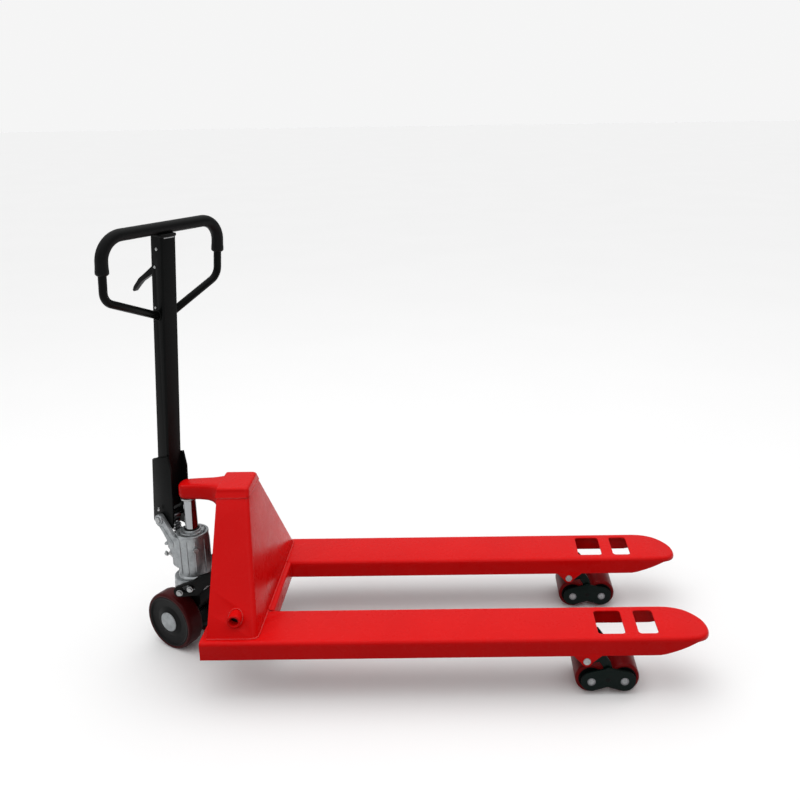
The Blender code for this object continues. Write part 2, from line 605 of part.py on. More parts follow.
# release lever on the pump, forked over its lug
REL = empty("release_axis", Matrix.Translation((-81 * MM, 0, 288 * MM)), ST)
rl = plate("release_lever", [[(-23, -14), (-20, -8), (-8, 8), (4, 8), (6, -8), (2, -34), (-5, -34), (-8, -12), (-18, -15)]],
           -9.5, 9.5, "Y", parent=REL, mat=SILVER)
cut(rl, box("release_fork_gap", (-9.5, -5.6, -10.7), (12, 5.6, 14), parent=REL, where=C),
    cyl("release_lever_hole", 3.3, -20, 20, (0, 0), parent=REL, where=C, seg=12))

# ---------------------------------------------------------------- drawbar, in its own leaning frame
H = empty("handle_axis", Matrix.Translation((PIV_X * MM, 0, PIV_Z * MM)) @ Matrix.Rotation(LEAN, 4, "Y"), ST)
cyl("handle_pin", 8.0, -49, 49, (PIV_X, PIV_Z), parent=ST, mat=STEEL, seg=24)

TUBE_X, TUBE_Y = 21.0, 24.4
TUBE_TOP = 797.0
bracket_side = [(-35, -16), (-35, 20), (-34, 168), (24, 190), (36, 150), (40, 30), (38, -20), (28, -31), (-22, -31)]
br = None
for q in (-1, 1):
    p = plate(f"bracket_cheek{q}", [bracket_side, circle(0, 0, 8.4, 24)],
              *sorted((q * 25.0, q * 30.0)), "Y", parent=H, where=C)
    if br is None:
        br = place(p.data.copy(), "handle_bracket", H, BLACK)
    else:
        join(br, p)
join(br, box("bracket_web", (-34, -27, 26), (-29, 27, 167), parent=H, where=C))
ring("thrust_roller", [(9, -12), (9, 12), (3.4, 12), (3.4, -12)], (18, 0), "Y", parent=H, mat=STEEL, steps=20)
join(br, cyl("thrust_roller_pin", 3.0, -27, 27, (18, 0), parent=H, where=C, seg=12))

tube = box("handle_tube", (-TUBE_X, -TUBE_Y, 30), (TUBE_X, TUBE_Y, TUBE_TOP), parent=H, mat=BLACK)
bv = tube.modifiers.new("Bevel", "BEVEL")
bv.width = 4 * MM
bv.segments = 1
bv.limit_method = "ANGLE"
cut(tube, box("tube_inside", (-TUBE_X + 3, -TUBE_Y + 3, 20), (TUBE_X - 3, TUBE_Y - 3, TUBE_TOP - 4), parent=H, where=C),
    box("tube_lever_slot", (-TUBE_X - 10, -10, 651), (0, 10, 747), parent=H, where=C),
    cyl("tube_lever_pin_hole", 4.3, -60, 60, (-6, 711), parent=H, where=C, seg=16))

# loop: a bent bar from one side of the tube, round the top, to the other side
LOOP_R = 10.2


def fillet(points, radii, n=5):
    """A path through points whose corners are rounded to the given radii."""
    out = [Vector(points[0])]
    for i in range(1, len(points) - 1):
        p0, p1, p2 = (Vector(p) for p in points[i - 1:i + 2])
        a, b = (p0 - p1).normalized(), (p2 - p1).normalized()
        half = a.angle(b) / 2
        cut_len = radii[i - 1] / math.tan(half)
        centre = p1 + (a + b).normalized() * (radii[i - 1] / math.sin(half))
        s0, s1 = p1 + a * cut_len - centre, p1 + b * cut_len - centre
        total = s0.angle(s1)
        for k in range(n + 1):
            t = k / n
            v = (s0 * math.sin((1 - t) * total) + s1 * math.sin(t * total)) / math.sin(total)
            out.append(centre + v)
    out.append(Vector(points[-1]))
    return out


loop_pts = [(0, -10, 577), (0, -188, 653), (0, -190, 811), (0, 190, 811), (0, 188, 653), (0, 10, 577)]
loop_path = fillet(loop_pts, [38, 58, 58, 38], 6)
loop = wire("handle_loop", [tuple(p) for p in loop_path], LOOP_R, parent=H, mat=BLACK, res=2)
cut(loop, box("loop_end_cut", (-30, -TUBE_Y - GAP, 510), (30, TUBE_Y + GAP, 650), parent=H, where=C))

# moulded grip over the top bar and the upper sides, split round the bar
GRIP_END = 724.0
grip_pts = [(0, -188.9, GRIP_END), (0, -190, 811), (0, 190, 811), (0, 188.9, GRIP_END)]
grip_path = fillet(grip_pts, [58, 58], 6)
grip = wire("grip_sleeve", [tuple(p) for p in grip_path], 16.0, parent=H, mat=GRIP, res=2)
cut(grip, wire("grip_bore", [(0, -188.75, GRIP_END - 12)] + [tuple(p) for p in grip_path[1:-1]] + [(0, 188.75, GRIP_END - 12)],
               LOOP_R + 0.5, parent=H, where=C, res=2),
    box("grip_tube_notch", (-TUBE_X - 1, -TUBE_Y - 1, 771), (TUBE_X + 1, TUBE_Y + 1, TUBE_TOP + 0.6), parent=H, where=C))

# control lever, its pin and the pull rod down the tube
LEV = empty("lever_axis", Matrix.Translation((-6 * MM, 0, 711 * MM)), H)
lever_side = (arc(0, 0, 9, 330, 480, 8) + [(-20, 4), (-50, -22), (-82, -48), (-101, -72), (-106, -84), (-101, -87), (-91, -75),
              (-72, -55), (-52, -41), (-32, -28), (-16, -22), (-10, -12)])
plate("control_lever", [lever_side, circle(0, 0, 4.3, 16)], -7, 7, "Y", parent=LEV, mat=BLACK)
cyl("lever_pin", 4.0, -26, 26, (-6, 711), parent=H, mat=STEEL, seg=16)
wire("pull_rod", [(11, 0, 60), (11, 0, 690)], 2.5, parent=H, mat=STEEL, res=1)
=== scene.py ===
import math

import bmesh
import bpy
from mathutils import Matrix, Vector, noise


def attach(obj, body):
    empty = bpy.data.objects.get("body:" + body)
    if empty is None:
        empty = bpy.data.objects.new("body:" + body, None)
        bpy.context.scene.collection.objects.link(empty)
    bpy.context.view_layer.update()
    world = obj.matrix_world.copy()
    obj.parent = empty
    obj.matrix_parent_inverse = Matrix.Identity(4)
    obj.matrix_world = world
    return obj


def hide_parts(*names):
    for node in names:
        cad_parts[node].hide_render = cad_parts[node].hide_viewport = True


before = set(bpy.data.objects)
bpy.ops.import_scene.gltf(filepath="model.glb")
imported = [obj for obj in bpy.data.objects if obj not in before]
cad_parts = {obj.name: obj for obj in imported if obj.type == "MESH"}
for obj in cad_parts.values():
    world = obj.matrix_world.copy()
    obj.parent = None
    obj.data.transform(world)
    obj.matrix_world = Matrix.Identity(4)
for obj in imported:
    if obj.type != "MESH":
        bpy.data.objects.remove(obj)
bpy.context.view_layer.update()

MM = 0.001
ORIGIN_X = 388.1
AX, STEER = -228.0, math.radians(-30.0)
PIV_X, PIV_Z, LEAN = -78.0, 371.0, math.radians(5.4)
TOP_Z, BOT_Z = 168.0, 119.0
FORK_C, FORK_H = 200.0, 75.0

# frames that pieces are laid out in, in millimetres
D = Matrix.Translation((-ORIGIN_X * MM, 0, 0)) @ Matrix.Diagonal((MM, MM, MM, 1))
ST = D @ Matrix.Translation((AX, 0, 0)) @ Matrix.Rotation(STEER, 4, "Z")
H = ST @ Matrix.Translation((PIV_X, 0, PIV_Z)) @ Matrix.Rotation(LEAN, 4, "Y")
SIDES = (("right", -1.0), ("left", 1.0))

coll = bpy.data.collections.new("looks")
bpy.context.scene.collection.children.link(coll)


# ------------------------------------------------------------------ materials
def new_mat(name, colour, rough, metal=0.0, spec=0.5, coat=0.0, coat_rough=0.1):
    m = bpy.data.materials.new(name)
    m.use_nodes = True
    b = m.node_tree.nodes["Principled BSDF"]
    b.inputs["Base Color"].default_value = (*colour, 1)
    b.inputs["Roughness"].default_value = rough
    b.inputs["Metallic"].default_value = metal
    b.inputs["Specular IOR Level"].default_value = spec
    b.inputs["Coat Weight"].default_value = coat
    b.inputs["Coat Roughness"].default_value = coat_rough
    return m, m.node_tree, b


def tex(nt, kind, scale, detail=2.0, rough=0.5, stretch=None, **kw):
    """A procedural texture in object coordinates, in metres."""
    co = nt.nodes.new("ShaderNodeTexCoord")
    src = co.outputs["Object"]
    if stretch:
        mp = nt.nodes.new("ShaderNodeMapping")
        mp.inputs["Scale"].default_value = stretch
        nt.links.new(src, mp.inputs["Vector"])
        src = mp.outputs["Vector"]
    t = nt.nodes.new(kind)
    nt.links.new(src, t.inputs["Vector"])
    t.inputs["Scale"].default_value = scale
    if kind == "ShaderNodeTexNoise":
        t.inputs["Detail"].default_value = detail
        t.inputs["Roughness"].default_value = rough
        return t.outputs["Fac"]
    return t.outputs[0]


def ramp(nt, fac, stops):
    r = nt.nodes.new("ShaderNodeValToRGB")
    e = r.color_ramp.elements
    while len(e) < len(stops):
        e.new(0.5)
    for el, (p, c) in zip(e, stops):
        el.position = p
        el.color = c if len(c) == 4 else (*c, 1)
    nt.links.new(fac, r.inputs["Fac"])
    return r.outputs["Color"]


def spread(nt, fac, a0, a1, b0, b1):
    m = nt.nodes.new("ShaderNodeMapRange")
    nt.links.new(fac, m.inputs["Value"])
    for n, v in (("From Min", a0), ("From Max", a1), ("To Min", b0), ("To Max", b1)):
        m.inputs[n].default_value = v
    return m.outputs["Result"]


def mix(nt, fac, a, b, mode="MIX"):
    m = nt.nodes.new("ShaderNodeMix")
    m.data_type = "RGBA"
    m.blend_type = mode
    for sock, v in ((m.inputs[0], fac), (m.inputs[6], a), (m.inputs[7], b)):
        if isinstance(v, (tuple, list)):
            sock.default_value = v if len(v) == 4 else (*v, 1)
        elif isinstance(v, (int, float)):
            sock.default_value = v
        else:
            nt.links.new(v, sock)
    return m.outputs[2]


def bump(nt, b, layers):
    """Stacked bumps: [(height output, strength, distance in metres), ...]."""
    prev = None
    for h, strength, dist in layers:
        n = nt.nodes.new("ShaderNodeBump")
        n.inputs["Strength"].default_value = strength
        n.inputs["Distance"].default_value = dist
        nt.links.new(h, n.inputs["Height"])
        if prev:
            nt.links.new(prev, n.inputs["Normal"])
        prev = n.outputs["Normal"]
    nt.links.new(prev, b.inputs["Normal"])


def powder(name, lo, hi, rough, spec, coat, peel, dust=None):
    m, nt, b = new_mat(name, lo, rough, 0.0, spec, coat, 0.12)
    big = tex(nt, "ShaderNodeTexNoise", 6, 4)
    col = ramp(nt, big, [(0.35, lo), (0.65, hi)])
    if dust:
        grime = tex(nt, "ShaderNodeTexNoise", 38, 8, 0.65)
        col = mix(nt, spread(nt, grime, 0.62, 0.8, 0.0, 0.35), col, dust)
    nt.links.new(col, b.inputs["Base Color"])
    smear = tex(nt, "ShaderNodeTexNoise", 22, 6, 0.6)
    nt.links.new(spread(nt, smear, 0.3, 0.7, rough - 0.05, rough + 0.07), b.inputs["Roughness"])
    bump(nt, b, [(tex(nt, "ShaderNodeTexNoise", 420, 2), peel, 0.00025),
                 (tex(nt, "ShaderNodeTexNoise", 70, 3), 0.12, 0.0006)])
    return m


RED = powder("red_powder_coat", (0.665, 0.0032, 0.0034), (0.70, 0.0040, 0.0040), 0.27, 0.075, 0.035, 0.20)
WELD = powder("red_over_weld", (0.60, 0.0035, 0.0035), (0.68, 0.0045, 0.0045), 0.22, 0.25, 0.20, 0.35)
BLACK = powder("black_powder_coat", (0.0018, 0.0022, 0.0022), (0.0030, 0.0034, 0.0034), 0.32, 0.075, 0.0, 0.30,
               (0.007, 0.007, 0.007))
BLACK_LOW = powder("black_paint_low", (0.0020, 0.0022, 0.0023), (0.0042, 0.0043, 0.0043), 0.38, 0.10, 0.0, 0.5,
                   (0.022, 0.020, 0.018))
GREENBLACK = powder("dark_side_plate", (0.0008, 0.0050, 0.0038), (0.0016, 0.0070, 0.0056), 0.34, 0.11, 0.0, 0.35,
                    (0.012, 0.016, 0.014))


def cast(name):
    """Aluminium-coloured paint over a sand casting."""
    m, nt, b = new_mat(name, (0.42, 0.43, 0.44), 0.36, 0.72, 0.5)
    n1 = tex(nt, "ShaderNodeTexNoise", 45, 8, 0.65)
    col = ramp(nt, n1, [(0.25, (0.19, 0.20, 0.21)), (0.5, (0.33, 0.35, 0.36)), (0.75, (0.45, 0.47, 0.48))])
    nt.links.new(col, b.inputs["Base Color"])
    nt.links.new(spread(nt, tex(nt, "ShaderNodeTexNoise", 120, 5), 0.3, 0.7, 0.27, 0.46), b.inputs["Roughness"])
    bump(nt, b, [(tex(nt, "ShaderNodeTexNoise", 330, 6, 0.6), 0.45, 0.0006),
                 (tex(nt, "ShaderNodeTexNoise", 60, 3), 0.25, 0.0012)])
    return m


def metal(name, lo, hi, r0, r1, stretch=(1, 1, 1), grain=260, b_str=0.12):
    m, nt, b = new_mat(name, lo, r0, 1.0)
    n = tex(nt, "ShaderNodeTexNoise", grain, 5, 0.6, stretch)
    nt.links.new(ramp(nt, n, [(0.3, lo), (0.7, hi)]), b.inputs["Base Color"])
    nt.links.new(spread(nt, n, 0.3, 0.7, r0, r1), b.inputs["Roughness"])
    bump(nt, b, [(n, b_str, 0.0002)])
    return m


CAST = cast("silver_casting")
CHROME = metal("hard_chrome", (0.30, 0.31, 0.32), (0.38, 0.39, 0.40), 0.07, 0.16, (1, 1, 30), 60, 0.05)
ZINC = metal("zinc_plate", (0.27, 0.275, 0.28), (0.42, 0.43, 0.43), 0.24, 0.42)
TURNED = metal("turned_steel", (0.22, 0.225, 0.23), (0.36, 0.37, 0.38), 0.18, 0.34, (1, 14, 1), 90)
SPRING = metal("spring_wire", (0.14, 0.14, 0.15), (0.22, 0.22, 0.23), 0.28, 0.42)


def poly(name, lo, hi, rough, scuff):
    m, nt, b = new_mat(name, lo, rough, 0.0, 0.10)
    n = tex(nt, "ShaderNodeTexNoise", 26, 7, 0.6)
    col = ramp(nt, n, [(0.3, lo), (0.7, hi)])
    s = tex(nt, "ShaderNodeTexNoise", 150, 8, 0.7, (1, 4, 1))
    col = mix(nt, spread(nt, s, 0.58, 0.78, 0.0, 0.5), col, scuff)
    nt.links.new(col, b.inputs["Base Color"])
    nt.links.new(spread(nt, s, 0.3, 0.75, rough - 0.06, rough + 0.16), b.inputs["Roughness"])
    bump(nt, b, [(s, 0.25, 0.0004), (n, 0.1, 0.0008)])
    return m


PU = poly("red_polyurethane", (0.150, 0.0024, 0.0032), (0.195, 0.0034, 0.0046), 0.34, (0.10, 0.006, 0.006))
# steer tyres: the load rollers' red polyurethane darkened to about a quarter, painted shade of their shadowed tread
PU_SHADED = poly("red_polyurethane_painted_shade", (0.040, 0.0020, 0.0026), (0.062, 0.0026, 0.0036), 0.34, (0.05, 0.010, 0.010))
NYLON = poly("black_nylon", (0.0028, 0.0030, 0.0031), (0.0055, 0.0056, 0.0056), 0.38, (0.014, 0.0135, 0.013))
GRIP = poly("moulded_grip", (0.0032, 0.0035, 0.0037), (0.0055, 0.0058, 0.0060), 0.42, (0.011, 0.011, 0.012))
BORE = new_mat("dark_bore", (0.004, 0.004, 0.005), 0.6)[0]


# ------------------------------------------------------------------ builders
def shade(me, angle=38):
    me.shade_smooth()
    me.set_sharp_from_angle(angle=math.radians(angle))


def done(o, mat, body, *nodes):
    """Last step of every piece: finish, the body it rides on and the CAD nodes it stands for."""
    o.data.materials.clear()
    o.data.materials.append(mat)
    if nodes:
        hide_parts(*nodes)
    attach(o, body)
    return o


def mesh_obj(name, bm, frm=D, weld=True):
    if weld:
        bmesh.ops.remove_doubles(bm, verts=bm.verts, dist=1e-4)
    bmesh.ops.transform(bm, verts=bm.verts, matrix=frm)
    bmesh.ops.recalc_face_normals(bm, faces=bm.faces)
    me = bpy.data.meshes.new(name)
    bm.to_mesh(me)
    bm.free()
    o = bpy.data.objects.new(name, me)
    coll.objects.link(o)
    return o


def bake(o, angle=38):
    """Modifiers into the mesh, then smooth shading with crisp edges."""
    bpy.context.view_layer.update()
    me = bpy.data.meshes.new_from_object(o.evaluated_get(bpy.context.evaluated_depsgraph_get()))
    o.modifiers.clear()
    o.data = me
    shade(me, angle)
    return o


def bevel(o, width, segs=2, angle=30, harden=False):
    b = o.modifiers.new("Bevel", "BEVEL")
    b.width = width * MM
    b.segments = segs
    b.limit_method = "ANGLE"
    b.angle_limit = math.radians(angle)
    b.use_clamp_overlap = True
    b.harden_normals = harden
    return o


def carve(o, *cutters):
    for c in cutters:
        m = o.modifiers.new("Cut", "BOOLEAN")
        m.operation = "DIFFERENCE"
        m.object = c
        m.solver = "EXACT"
    bake(o)
    for c in cutters:
        bpy.data.objects.remove(c)
    return o


def axis_turn(axis):
    return {"Z": Matrix.Identity(4), "Y": Matrix.Rotation(math.radians(-90), 4, "X"),
            "X": Matrix.Rotation(math.radians(90), 4, "Y")}[axis]


def lathe(name, prof, at=(0, 0, 0), axis="Z", frm=D, segs=64, start=0.0):
    """A turned piece from [(radius, along), ...]; a radius of 0 closes on the axis."""
    bm = bmesh.new()
    rings = []
    for r, h in prof:
        if r < 1e-6:
            rings.append([bm.verts.new((0, 0, h))])
        else:
            rings.append([bm.verts.new((r * math.cos(start + 2 * math.pi * k / segs), r * math.sin(start + 2 * math.pi * k / segs), h))
                          for k in range(segs)])
    for a, b in zip(rings, rings[1:]):
        for k in range(segs):
            j = (k + 1) % segs
            q = [a[k % len(a)], a[j % len(a)], b[j % len(b)], b[k % len(b)]]
            q = [v for i, v in enumerate(q) if v not in q[:i]]
            if len(q) > 2:
                bm.faces.new(q)
    bmesh.ops.transform(bm, verts=bm.verts, matrix=Matrix.Translation(at) @ axis_turn(axis))
    return mesh_obj(name, bm, frm)


def soft_prof(pts, r=1.0, n=3):
    """Rounds the inner corners of an open profile."""
    out = [pts[0]]
    for p0, p1, p2 in zip(pts, pts[1:], pts[2:]):
        a, b = Vector(p0) - Vector(p1), Vector(p2) - Vector(p1)
        la, lb = a.length, b.length
        if la < 1e-6 or lb < 1e-6:
            continue
        k = min(r, la * 0.45, lb * 0.45)
        s, e = Vector(p1) + a / la * k, Vector(p1) + b / lb * k
        for i in range(n + 1):
            t = i / n
            out.append(tuple((1 - t) ** 2 * s + 2 * t * (1 - t) * Vector(p1) + t * t * e))
    out.append(pts[-1])
    return out


def prism(name, loop, a, b, axis="Y", frm=D):
    """A flat outline between a and b along axis: (x, z) for Y, (x, y) for Z, (y, z) for X."""
    bm = bmesh.new()

    def at(p, h):
        return {"Y": (p[0], h, p[1]), "Z": (p[0], p[1], h), "X": (h, p[0], p[1])}[axis]

    lo = [bm.verts.new(at(p, a)) for p in loop]
    hi = [bm.verts.new(at(p, b)) for p in loop]
    bm.faces.new(lo)
    bm.faces.new(hi)
    n = len(loop)
    for i in range(n):
        bm.faces.new((lo[i], lo[(i + 1) % n], hi[(i + 1) % n], hi[i]))
    return mesh_obj(name, bm, frm)


def arc(cx, cz, r, a0, a1, n=12):
    return [(cx + r * math.cos(math.radians(a0 + (a1 - a0) * i / n)),
             cz + r * math.sin(math.radians(a0 + (a1 - a0) * i / n))) for i in range(n + 1)]


def loft(name, rings, frm=D, caps=True, closed=True):
    """Rings of equal point count joined into a skin."""
    bm = bmesh.new()
    vs = [[bm.verts.new(p) for p in r] for r in rings]
    for a, b in zip(vs, vs[1:]):
        n = len(a)
        for k in range(n if closed else n - 1):
            j = (k + 1) % n
            bm.faces.new((a[k], a[j], b[j], b[k]))
    if caps:
        bm.faces.new(vs[0])
        bm.faces.new(vs[-1])
    return mesh_obj(name, bm, frm)


def tube(name, pts, rad, frm=D, segs=20, squash=(1, 1), up=(1, 0, 0), dome=True, cyclic=False):
    """A bar swept along pts; rad is a number or a list, one per point."""
    P = [Vector(p) for p in pts]
    n = len(P)
    R = rad if isinstance(rad, list) else [rad] * n
    rings, u = [], Vector(up)
    for i, p in enumerate(P):
        t = (P[(i + 1) % n] - P[i - 1]) if cyclic else (P[min(i + 1, n - 1)] - P[max(i - 1, 0)])
        t.normalize()
        u = (u - t * u.dot(t)).normalized()
        v = t.cross(u)
        rings.append((p, t, u.copy(), v, R[i]))
    if dome and not cyclic:
        a, b = rings[0], rings[-1]
        k = 0.30
        rings = ([(a[0] - a[1] * a[4] * k, a[1], a[2], a[3], a[4] * 0.35), (a[0] - a[1] * a[4] * k * 0.7, a[1], a[2], a[3], a[4] * 0.8)]
                 + rings + [(b[0] + b[1] * b[4] * k * 0.7, b[1], b[2], b[3], b[4] * 0.8), (b[0] + b[1] * b[4] * k, b[1], b[2], b[3], b[4] * 0.35)])
    out = [[p + (u * math.cos(2 * math.pi * k / segs) * squash[0] + v * math.sin(2 * math.pi * k / segs) * squash[1]) * r
            for k in range(segs)] for p, t, u, v, r in rings]
    if cyclic:
        out.append(out[0])
    o = loft(name, out, frm, caps=not cyclic)
    shade(o.data, 50)
    return o


def weld(name, pts, r, body, frm=D, step=2.6, mat=None, seed=0):
    """A weld bead: a run of overlapping ripples along pts."""
    P = [Vector(p) for p in pts]
    out, rad, d = [], [], 0.0
    for a, b in zip(P, P[1:]):
        L = (b - a).length
        k = max(2, int(L / 0.85))
        for i in range(k):
            q = a.lerp(b, i / k)
            w = noise.noise(q * 0.13 + Vector((seed, 0, 0)))
            ph = ((d + L * i / k) % step) / step
            out.append(q + Vector((0, 0, 0.35 * w)))
            rad.append(r * (0.86 + 0.16 * math.sqrt(max(0.0, 1 - (2 * ph - 1) ** 2)) + 0.08 * w))
        d += L
    out.append(P[-1])
    rad.append(r * 0.6)
    return done(tube(name, out, rad, frm, segs=10), mat or WELD, body)


def bolt(name, at, axis, sign, af, head, body, frm=D, mat=None, washer=0.0, stud=0.0):
    """A hexagon head with its chamfer and washer. sign is the way it stands out."""
    r = af / math.sqrt(3)
    s = sign
    prof = [(0, 0), (r, 0), (r, head * 0.78), (r * 0.90, head), (r * 0.5, head * 1.0), (0, head)]
    bm = bmesh.new()
    rings = []
    for i, (rr, h) in enumerate(prof):
        if rr == 0:
            rings.append([bm.verts.new((0, 0, s * h))])
            continue
        ring = []
        for k in range(24):
            a = math.radians(k * 15 + 12)
            hexr = rr if i >= 3 else rr * math.cos(math.pi / 6) / math.cos(((a - math.radians(12)) % (math.pi / 3)) - math.pi / 6)
            ring.append(bm.verts.new((hexr * math.cos(a), hexr * math.sin(a), s * h)))
        rings.append(ring)
    for a, b in zip(rings, rings[1:]):
        for k in range(24):
            j = (k + 1) % 24
            q = [a[k % len(a)], a[j % len(a)], b[j % len(b)], b[k % len(b)]]
            q = [v for i, v in enumerate(q) if v not in q[:i]]
            if len(q) > 2:
                bm.faces.new(q)
    off = s * washer
    bmesh.ops.transform(bm, verts=bm.verts, matrix=Matrix.Translation((0, 0, off)))
    bmesh.ops.transform(bm, verts=bm.verts, matrix=Matrix.Translation(at) @ axis_turn(axis))
    o = mesh_obj(name, bm, frm)
    bevel(o, 0.35, 1, 25)
    bake(o, 30)
    done(o, mat or ZINC, body)
    if washer:
        w = lathe(name + "_washer", soft_prof([(0, 0), (r * 1.32, 0), (r * 1.32, s * washer), (0, s * washer)], 0.4), at, axis, frm, 32)
        shade(w.data)
        done(w, ZINC, body)
    return o


def soften(node, body, mat, width=1.0, segs=2, angle=35, name=None):
    """The CAD node's own shape with its edges broken, standing for the node."""
    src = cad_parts[node]
    bm = bmesh.new()
    bm.from_mesh(src.data)
    bm.transform(src.matrix_world)
    bmesh.ops.remove_doubles(bm, verts=bm.verts, dist=2e-5)
    bmesh.ops.dissolve_limit(bm, angle_limit=math.radians(1.5), verts=bm.verts, edges=bm.edges)
    me = bpy.data.meshes.new(node + "_look")
    bm.to_mesh(me)
    bm.free()
    o = bpy.data.objects.new(name or node + "_look", me)
    coll.objects.link(o)
    if width:
        bevel(o, width, segs, angle)
    bake(o, 32)
    return done(o, mat, body, node)


# ------------------------------------------------------------------ forks
def nose(half, tip, start, n=30):
    pts = []
    for i in range(n + 1):
        t = math.pi / 2 * (1 - 2 * i / n)
        pts.append((start + (tip - start) * abs(math.cos(t)) ** 0.85,
                    half * math.copysign(abs(math.sin(t)) ** 0.9, math.sin(t))))
    return pts


def lerp_tab(x, tab):
    for (x0, y0), (x1, y1) in zip(tab, tab[1:]):
        if x <= x1:
            return y0 + (y1 - y0) * max(0.0, (x - x0) / (x1 - x0))
    return tab[-1][1]


TOP_LINE = [(0, TOP_Z), (1040, TOP_Z), (1070, TOP_Z - 1.6), (1100, TOP_Z - 5), (1150, TOP_Z - 15.5)]
LOW_LINE = [(0, BOT_Z), (1012, BOT_Z), (1024, BOT_Z + 1.6), (1098, BOT_Z + 24), (1112, BOT_Z + 27), (1150, 138)]


def fork(side, s):
    yc = s * FORK_C
    xs = [-148, -60, 60, 200, 340, 480, 620, 760, 840, 945, 990, 1014, 1028]
    plan = [(x, FORK_H) for x in xs] + nose(FORK_H, 1150, 1036) + [(x, -FORK_H) for x in reversed(xs)]
    n = len(plan)
    nrm = []
    for i in range(n):
        a, b = Vector(plan[max(i - 1, 0)]), Vector(plan[min(i + 1, n - 1)])
        t = (b - a).normalized()
        nrm.append(Vector((t.y, -t.x)))
    R = 10.0
    steps = [(0.0, "low", 0.0), (0.0, "low", 3.0)]
    for k in range(3):
        steps.append((0.0, "mid", (k + 1) / 4))
    for k in range(7):
        a = math.radians(90 * k / 6)
        steps.append((R * (1 - math.cos(a)), "top", R * (1 - math.sin(a))))
    rings = []
    for inset, kind, v in steps:
        ring = []
        for (x, y), nn in zip(plan, nrm):
            q = Vector((x, y)) + nn * inset
            zt, zl = lerp_tab(x, TOP_LINE), lerp_tab(x, LOW_LINE)
            if kind == "low":
                z = zl + v
            elif kind == "mid":
                z = zl + 3 + (zt - R - zl - 3) * v
            else:
                z = zt - v
            if x < -147:
                q.x = x
            ring.append((q.x, yc + q.y, z))
        rings.append(ring)
    bm = bmesh.new()
    vs = [[bm.verts.new(p) for p in r] for r in rings]
    for a, b in zip(vs, vs[1:]):
        for k in range(n - 1):
            bm.faces.new((a[k], a[k + 1], b[k + 1], b[k]))
    top = vs[-1]
    for k in range(n // 2):
        j = n - 1 - k
        if j - k > 1:
            q = [top[k], top[k + 1], top[j - 1], top[j]]
            q = [v for i, v in enumerate(q) if v not in q[:i]]
            if len(q) > 2:
                bm.faces.new(q)
    o = mesh_obj("fork_%s_look" % side, bm)
    so = o.modifiers.new("Sheet", "SOLIDIFY")
    so.thickness = 4.4 * MM
    so.offset = -1
    so.use_even_offset = True
    so.use_quality_normals = True
    bake(o)
    cut = []
    for x0, x1 in ((859, 928), (962, 1012)):
        r = 9
        lp = (arc(x1 - r, yc + 52 - r, r, 0, 90, 6) + arc(x0 + r, yc + 52 - r, r, 90, 180, 6)
              + arc(x0 + r, yc - 52 + r, r, 180, 270, 6) + arc(x1 - r, yc - 52 + r, r, 270, 360, 6))
        cut.append(prism("c", lp, 145, 190, "Z"))
    cut.append(prism("c", [(-92, yc - 17), (-24, yc - 17), (-24, yc + 17), (-92, yc + 17)], 150, 190, "Z"))
    carve(o, *cut)
    bevel(o, 1.1, 2, 50)
    bake(o, 34)
    done(o, RED, "chassis", "fork_" + side)
    # ears that carry the roller arm, rounded under the bolt
    for tag, q in (("o", 1), ("i", -1)):
        ear = [(795, 124), (795, 119)] + arc(828, 104.5, 15.5, 200, 340, 14) + [(866, 119), (866, 124)]
        ys = sorted((yc + q * 70.6, yc + q * 75.2))
        e = prism("ear_%s_%s" % (side, tag), ear, ys[0], ys[1])
        bevel(e, 1.2, 2)
        bake(e)
        done(e, RED, "chassis")
    # the front stiffener inside the nose
    st = loft("nose_rib_" + side, [[(1040, yc + q * 60, 163 - h), (1043.5, yc + q * 60, 163 - h)] for q, h in ()] or
              [[(1052, yc - 58, 134), (1056, yc - 58, 134), (1056, yc + 58, 134), (1052, yc + 58, 134)],
               [(1052, yc - 60, 163), (1056, yc - 60, 163), (1056, yc + 60, 163), (1052, yc + 60, 163)]])
    shade(st.data)
    done(st, RED, "chassis")
    return o


for side, s in SIDES:
    fork(side, s)
bp = soften("base_plate", "chassis", RED, 2.2, 3)

# ------------------------------------------------------------------ mast and head
ZF, ZH = 168.2, 480.0


def mast_ring(z):
    """Section of the folded sheet at height z: right rear edge, corner, front, corner, left rear edge."""
    t = (z - ZF) / (ZH - ZF)
    xr, xf, y = -132 - 2 * t, -4 - 48 * t, 258 - 202 * t
    r = 13.0
    dx, dy = (xf - xr), 0.0
    right = arc(xf - r, -y + r, r, -90, 0, 7)
    left = arc(xf - r, y - r, r, 0, 90, 7)
    return [(xr, -y, z)] + [(a, b, z) for a, b in right] + [(a, b, z) for a, b in left] + [(xr, y, z)]


rings = [mast_ring(ZF + (ZH - ZF) * i / 6) for i in range(7)]
m = loft("mast_look", rings, caps=False, closed=False)
so = m.modifiers.new("Sheet", "SOLIDIFY")
so.thickness = 5 * MM
so.offset = -1
so.use_even_offset = True
bake(m)
# the side faces normals out: keep the sheet inside its own outline
if max(v.co.y for v in m.data.vertices) > 0.2585:
    bpy.data.objects.remove(m)
    m = loft("mast_look", rings, caps=False, closed=False)
    so = m.modifiers.new("Sheet", "SOLIDIFY")
    so.thickness = 5 * MM
    so.offset = 1
    so.use_even_offset = True
    bake(m)
carve(m, lathe("c", [(0, -300), (17.2, -300), (17.2, 300), (0, 300)], (-62, 0, 212), "Y", D, 40))
bevel(m, 1.0, 2, 45)
bake(m, 34)
done(m, RED, "chassis", "mast_shell")


